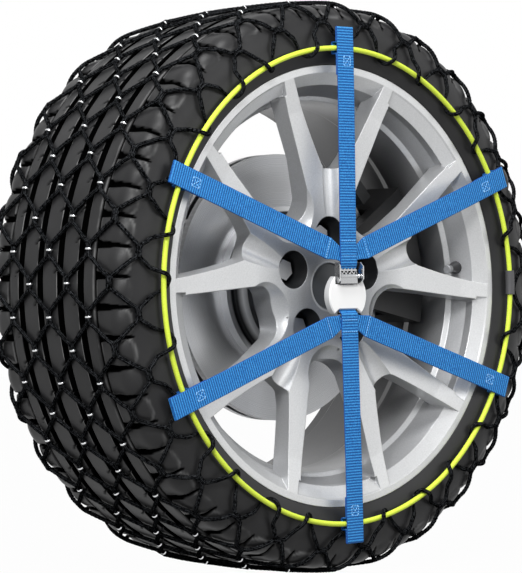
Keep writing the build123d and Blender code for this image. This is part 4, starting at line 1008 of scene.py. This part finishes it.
def wheel_look():
    """Silver-painted alloy with painted shade: darker on faces turned from the front, greyer
    at the hub, deep in the barrel and inside the bolt pockets.
    """
    look = Look("silver_paint", Metallic=0.45, Coat_Weight=0.12, Coat_Roughness=0.12)
    # painted shade: faces that turn away from the front are darker
    paint_and_shade = look.ramp(look.facing(), [(0.0, srgb(186, 187, 189)), (0.4, srgb(178, 179, 181)),
                                      (0.75, srgb(202, 203, 204)), (1.0, srgb(216, 217, 218))])
    # painted shade, greyer towards the hub
    spokes = look.rescale(look.from_axle(), HUB_SHADE_R * MM, HUB_SHADE_END_R * MM)
    paint_and_shade = look.mixed(spokes, srgb(152, 154, 157), paint_and_shade)
    cloud = look.clouds(look.noise(700.0), srgb(240, 240, 240), srgb(255, 255, 255))
    paint_and_shade = look.product(paint_and_shade, cloud)
    # painted shade, darker deeper in the barrel
    behind = look.rescale(look.xyz(look.place())["Y"], (FACE_Y + BARREL_DEPTH) * MM,
                          (FACE_Y + BARREL_DARK_DEPTH) * MM)
    shade = look.ramp(behind, [(0.0, srgb(255, 255, 255)), (1.0, srgb(118, 118, 119))])
    paint_and_shade = look.product(paint_and_shade, shade)
    # painted shade inside the bolt pockets
    look.set("Base Color", look.mixed(in_pocket(look), paint_and_shade, srgb(38, 39, 41)))
    look.roughness(0.3, 0.38)
    rounded_edge = look.node("Bevel", samples=6, Radius=0.0016)
    grain = look.node("Bump", Strength=0.15, Distance=0.0002,
                      Height=look.noise(1600.0, 2.0), Normal=rounded_edge.outputs["Normal"])
    look.set("Normal", grain.outputs["Normal"])
    return look


def frame_look():
    """Bright steel edges over a floor with painted shade where it lies behind the cam."""
    look = Look("buckle_frame_look", Metallic=1.0)
    # painted shade, deeper inboard on faces that face along the axle
    deep = look.rescale(look.xyz(look.place())["Y"], FRAME_BRIGHT_Y * MM, FRAME_DARK_Y * MM)
    share = look.times(deep, look.facing())
    look.set("Base Color", look.mixed(share, srgb(206, 207, 208), srgb(44, 45, 46)))
    look.roughness(0.22, 0.32)
    return look


def plate_look():
    """White plastic, with painted shade on the plate's side wall."""
    look = Look("white_plastic", Roughness=0.4)
    # painted shade: the side wall, which turns away from the front, is greyer
    tone = look.ramp(look.facing(), [(0.4, srgb(204, 205, 206)), (0.85, srgb(252, 252, 252))])
    look.set("Base Color", tone)
    look.bump(look.noise(900.0, 2.0), 0.1, 0.0002)
    return look


def cam_look():
    """Steel with a row of three-cornered openings, painted as dark shade, between its pin and
    its teeth.
    """
    look = Look("cam_look", Metallic=1.0)
    x, _, height = look.xyz(look.place())
    rise = look.rescale(height, CAM_ROW_Z[0] * MM, CAM_ROW_Z[1] * MM, clamp=False)
    swing = look.math("DIVIDE", look.math("PINGPONG", x, CAM_CELL * MM), CAM_CELL * MM)
    off_bar = look.math("ABSOLUTE", look.math("SUBTRACT", swing, rise))
    within = look.math("COMPARE", rise, 0.5, 0.5)
    # painted shade stands in for the openings
    opening_shade = look.times(look.math("GREATER_THAN", off_bar, CAM_BAR), within)
    steel = look.clouds(look.noise(9.0), srgb(168, 169, 171), srgb(196, 197, 198))
    look.set("Base Color", look.mixed(opening_shade, steel, srgb(16, 16, 17)))
    look.roughness(0.2, 0.3)
    look.bump(look.noise(900.0, 2.0), 0.1, 0.0002)
    return look


def cap_look():
    """Dark plastic with a light rim."""
    look = Look("cap_plastic_look", Metallic=0.2)
    tone = look.ramp(look.math("DIVIDE", look.from_axle(), CAP_R * MM),
                     [(0.87, srgb(72, 75, 78)), (0.9, srgb(176, 178, 180))])
    look.set("Base Color", tone)
    look.roughness(0.32, 0.42)
    return look


def dress(look, *names):
    """Puts the look on CAD nodes or on this file's own objects."""
    for name in names:
        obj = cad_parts.get(name) or bpy.data.objects[name]
        obj.data.materials.clear()
        obj.data.materials.append(look.material)


build_tyre()
ropes = build_net()
elastic = build_cord()
build_staples()
straps = build_straps()
build_stitches()

dress(rubber("tyre_rubber_look", 37), "tyre_rubber")
dress(rubber("valve_rubber_look", 40), "valve_stem")
dress(wheel_look(), "alloy_wheel")
dress(cap_look(), "centre_cap")
dress(metal("bolt_steel_look", srgb(150, 151, 153), srgb(186, 187, 189), rough=0.42,
            metallic=0.8, bump=0.02),
      "wheel_bolts")
dress(metal("bright_steel", srgb(196, 197, 199), srgb(222, 223, 225), rough=0.2),
      "hub_nut", "cam_pin", "cam_spring", "plate_washers", "net_staples")
dress(cam_look(), "cam_lever")
dress(frame_look(), "buckle_frame")
dress(metal("hub_steel_look", srgb(120, 121, 123), srgb(150, 151, 153), rough=0.4),
      "hub_flange", "bearing_inner_ring", "bearing_outer_ring", "brake_piston", "guide_pins",
      "bracket_bolts", "valve_cap")
dress(metal("cast_iron", srgb(46, 47, 48), srgb(66, 67, 68), rough=0.6, metallic=0.5,
            grain=300.0, bump=0.4),
      "hub_carrier", "caliper_bracket")
dress(metal("caliper_paint", srgb(16, 16, 17), srgb(28, 28, 29), rough=0.45, metallic=0.0,
            grain=300.0, bump=0.3),
      "brake_caliper")
dress(metal("pad_lining_look", srgb(52, 50, 48), srgb(78, 74, 70), rough=0.8, metallic=0.0,
            grain=700.0, bump=0.6),
      "brake_pads")
dress(plate_look(), "tension_plate")
dress(metal("joiner_plastic", srgb(60, 60, 62), srgb(76, 76, 78), rough=0.5, metallic=0.0),
      "ring_joiner")
dress(disc_look(), "brake_disc")
dress(cord_look(), elastic.name, "inner_ring_cord")
dress(rope_look(), *[r.name for r in ropes])
dress(webbing_look(), *[s.name for s in straps])
dress(stitch_look(), "strap_stitches")

# --------------------------------- floor, lights and camera
FLOOR_HALF = 6.0
FLOOR_DROP = 0.0005       # below the CAD's lowest point
FLOOR_GLOW = 0.98         # how far the floor shows as plain white
WORLD_LIGHT = 0.12        # what the white surroundings add to the lamps
FACE = Vector((0, FACE_Y * MM, 0))
AZIMUTH, DISTANCE, ROLL = 43.33, 2.9508, math.radians(-1.2)
FRAMING = (-0.0880, -0.0006)  # the picture's middle, right and up from the wheel's middle
LENS, SENSOR = 166.3, 36.0


def white_floor():
    """A floor that catches shadows but shows white."""
    z = cad_bounds[0][2] - FLOOR_DROP
    corners = [(x * FLOOR_HALF, y * FLOOR_HALF, z)
               for x, y in ((-1, -1), (1, -1), (1, 1), (-1, 1))]
    floor = mesh_object("floor", corners, [(0, 1, 2, 3)], smooth=False)
    look = Look("pale_floor", Roughness=0.9)
    tone = look.clouds(look.noise(4.0), srgb(118, 118, 118), srgb(126, 126, 126))
    look.set("Base Color", tone)
    glow = look.node("Emission", Strength=1.0)
    blend = look.node("MixShader", look.times(look.seen(), FLOOR_GLOW),
                      look.shader.outputs[0], glow.outputs[0])
    look.feed(look.tree.nodes["Material Output"].inputs["Surface"], blend.outputs[0])
    floor.data.materials.append(look.material)


def white_world():
    """Surroundings that show white but add little light."""
    world = bpy.data.worlds.new("studio")
    bpy.context.scene.world = world
    world.use_nodes = True
    nodes = Nodes(world.node_tree)
    backdrop = nodes.tree.nodes["Background"]
    nodes.feed(backdrop.inputs["Color"], (1, 1, 1, 1))
    strength = nodes.rescale(nodes.seen(), 0.0, 1.0, WORLD_LIGHT, 1.0)
    nodes.feed(backdrop.inputs["Strength"], strength)


def lamp(name, place, size, power):
    """An area lamp aimed at the middle of the wheel's face."""
    data = bpy.data.lights.new(name, "AREA")
    data.shape = "RECTANGLE"
    data.size, data.size_y = size
    data.energy = power
    obj = bpy.data.objects.new(name, data)
    obj.location = place
    obj.rotation_euler = (FACE - Vector(place)).to_track_quat("-Z", "Y").to_euler()
    bpy.context.scene.collection.objects.link(obj)


def place_camera():
    """The photograph's view: level with the axle, from one side, slightly rolled."""
    azimuth = math.radians(AZIMUTH)
    sight = Vector((math.sin(azimuth), math.cos(azimuth), 0))
    plumb = Vector((0, 0, 1))
    level = sight.cross(plumb)
    right = level * math.cos(ROLL) + plumb * math.sin(ROLL)
    up = plumb * math.cos(ROLL) - level * math.sin(ROLL)
    camera = bpy.data.objects.new("camera", bpy.data.cameras.new("camera"))
    camera.location = FACE - sight * DISTANCE
    aim = (FACE + right * FRAMING[0] + up * FRAMING[1] - camera.location).normalized()
    right = aim.cross(up).normalized()
    up = right.cross(aim)
    camera.rotation_euler = Matrix((right, up, -aim)).transposed().to_euler()
    camera.data.lens = LENS
    camera.data.sensor_width = SENSOR
    bpy.context.scene.collection.objects.link(camera)
    bpy.context.scene.camera = camera


white_floor()
white_world()
lamp("overhead", (-0.9, -0.9, 2.9), (1.0, 1.0), 60.0)
lamp("left_key", (-2.5, -1.35, 1.1), (0.5, 1.4), 26.0)
lamp("front_fill", (0.9, -3.1, 1.2), (1.8, 1.8), 22.5)
lamp("camera_side", (-1.5, -1.7, 1.5), (0.6, 0.6), 36.0)
lamp("right_fill", (2.4, -1.6, 0.9), (1.0, 1.6), 4.0)
place_camera()
bpy.context.scene.view_settings.view_transform = "Standard"
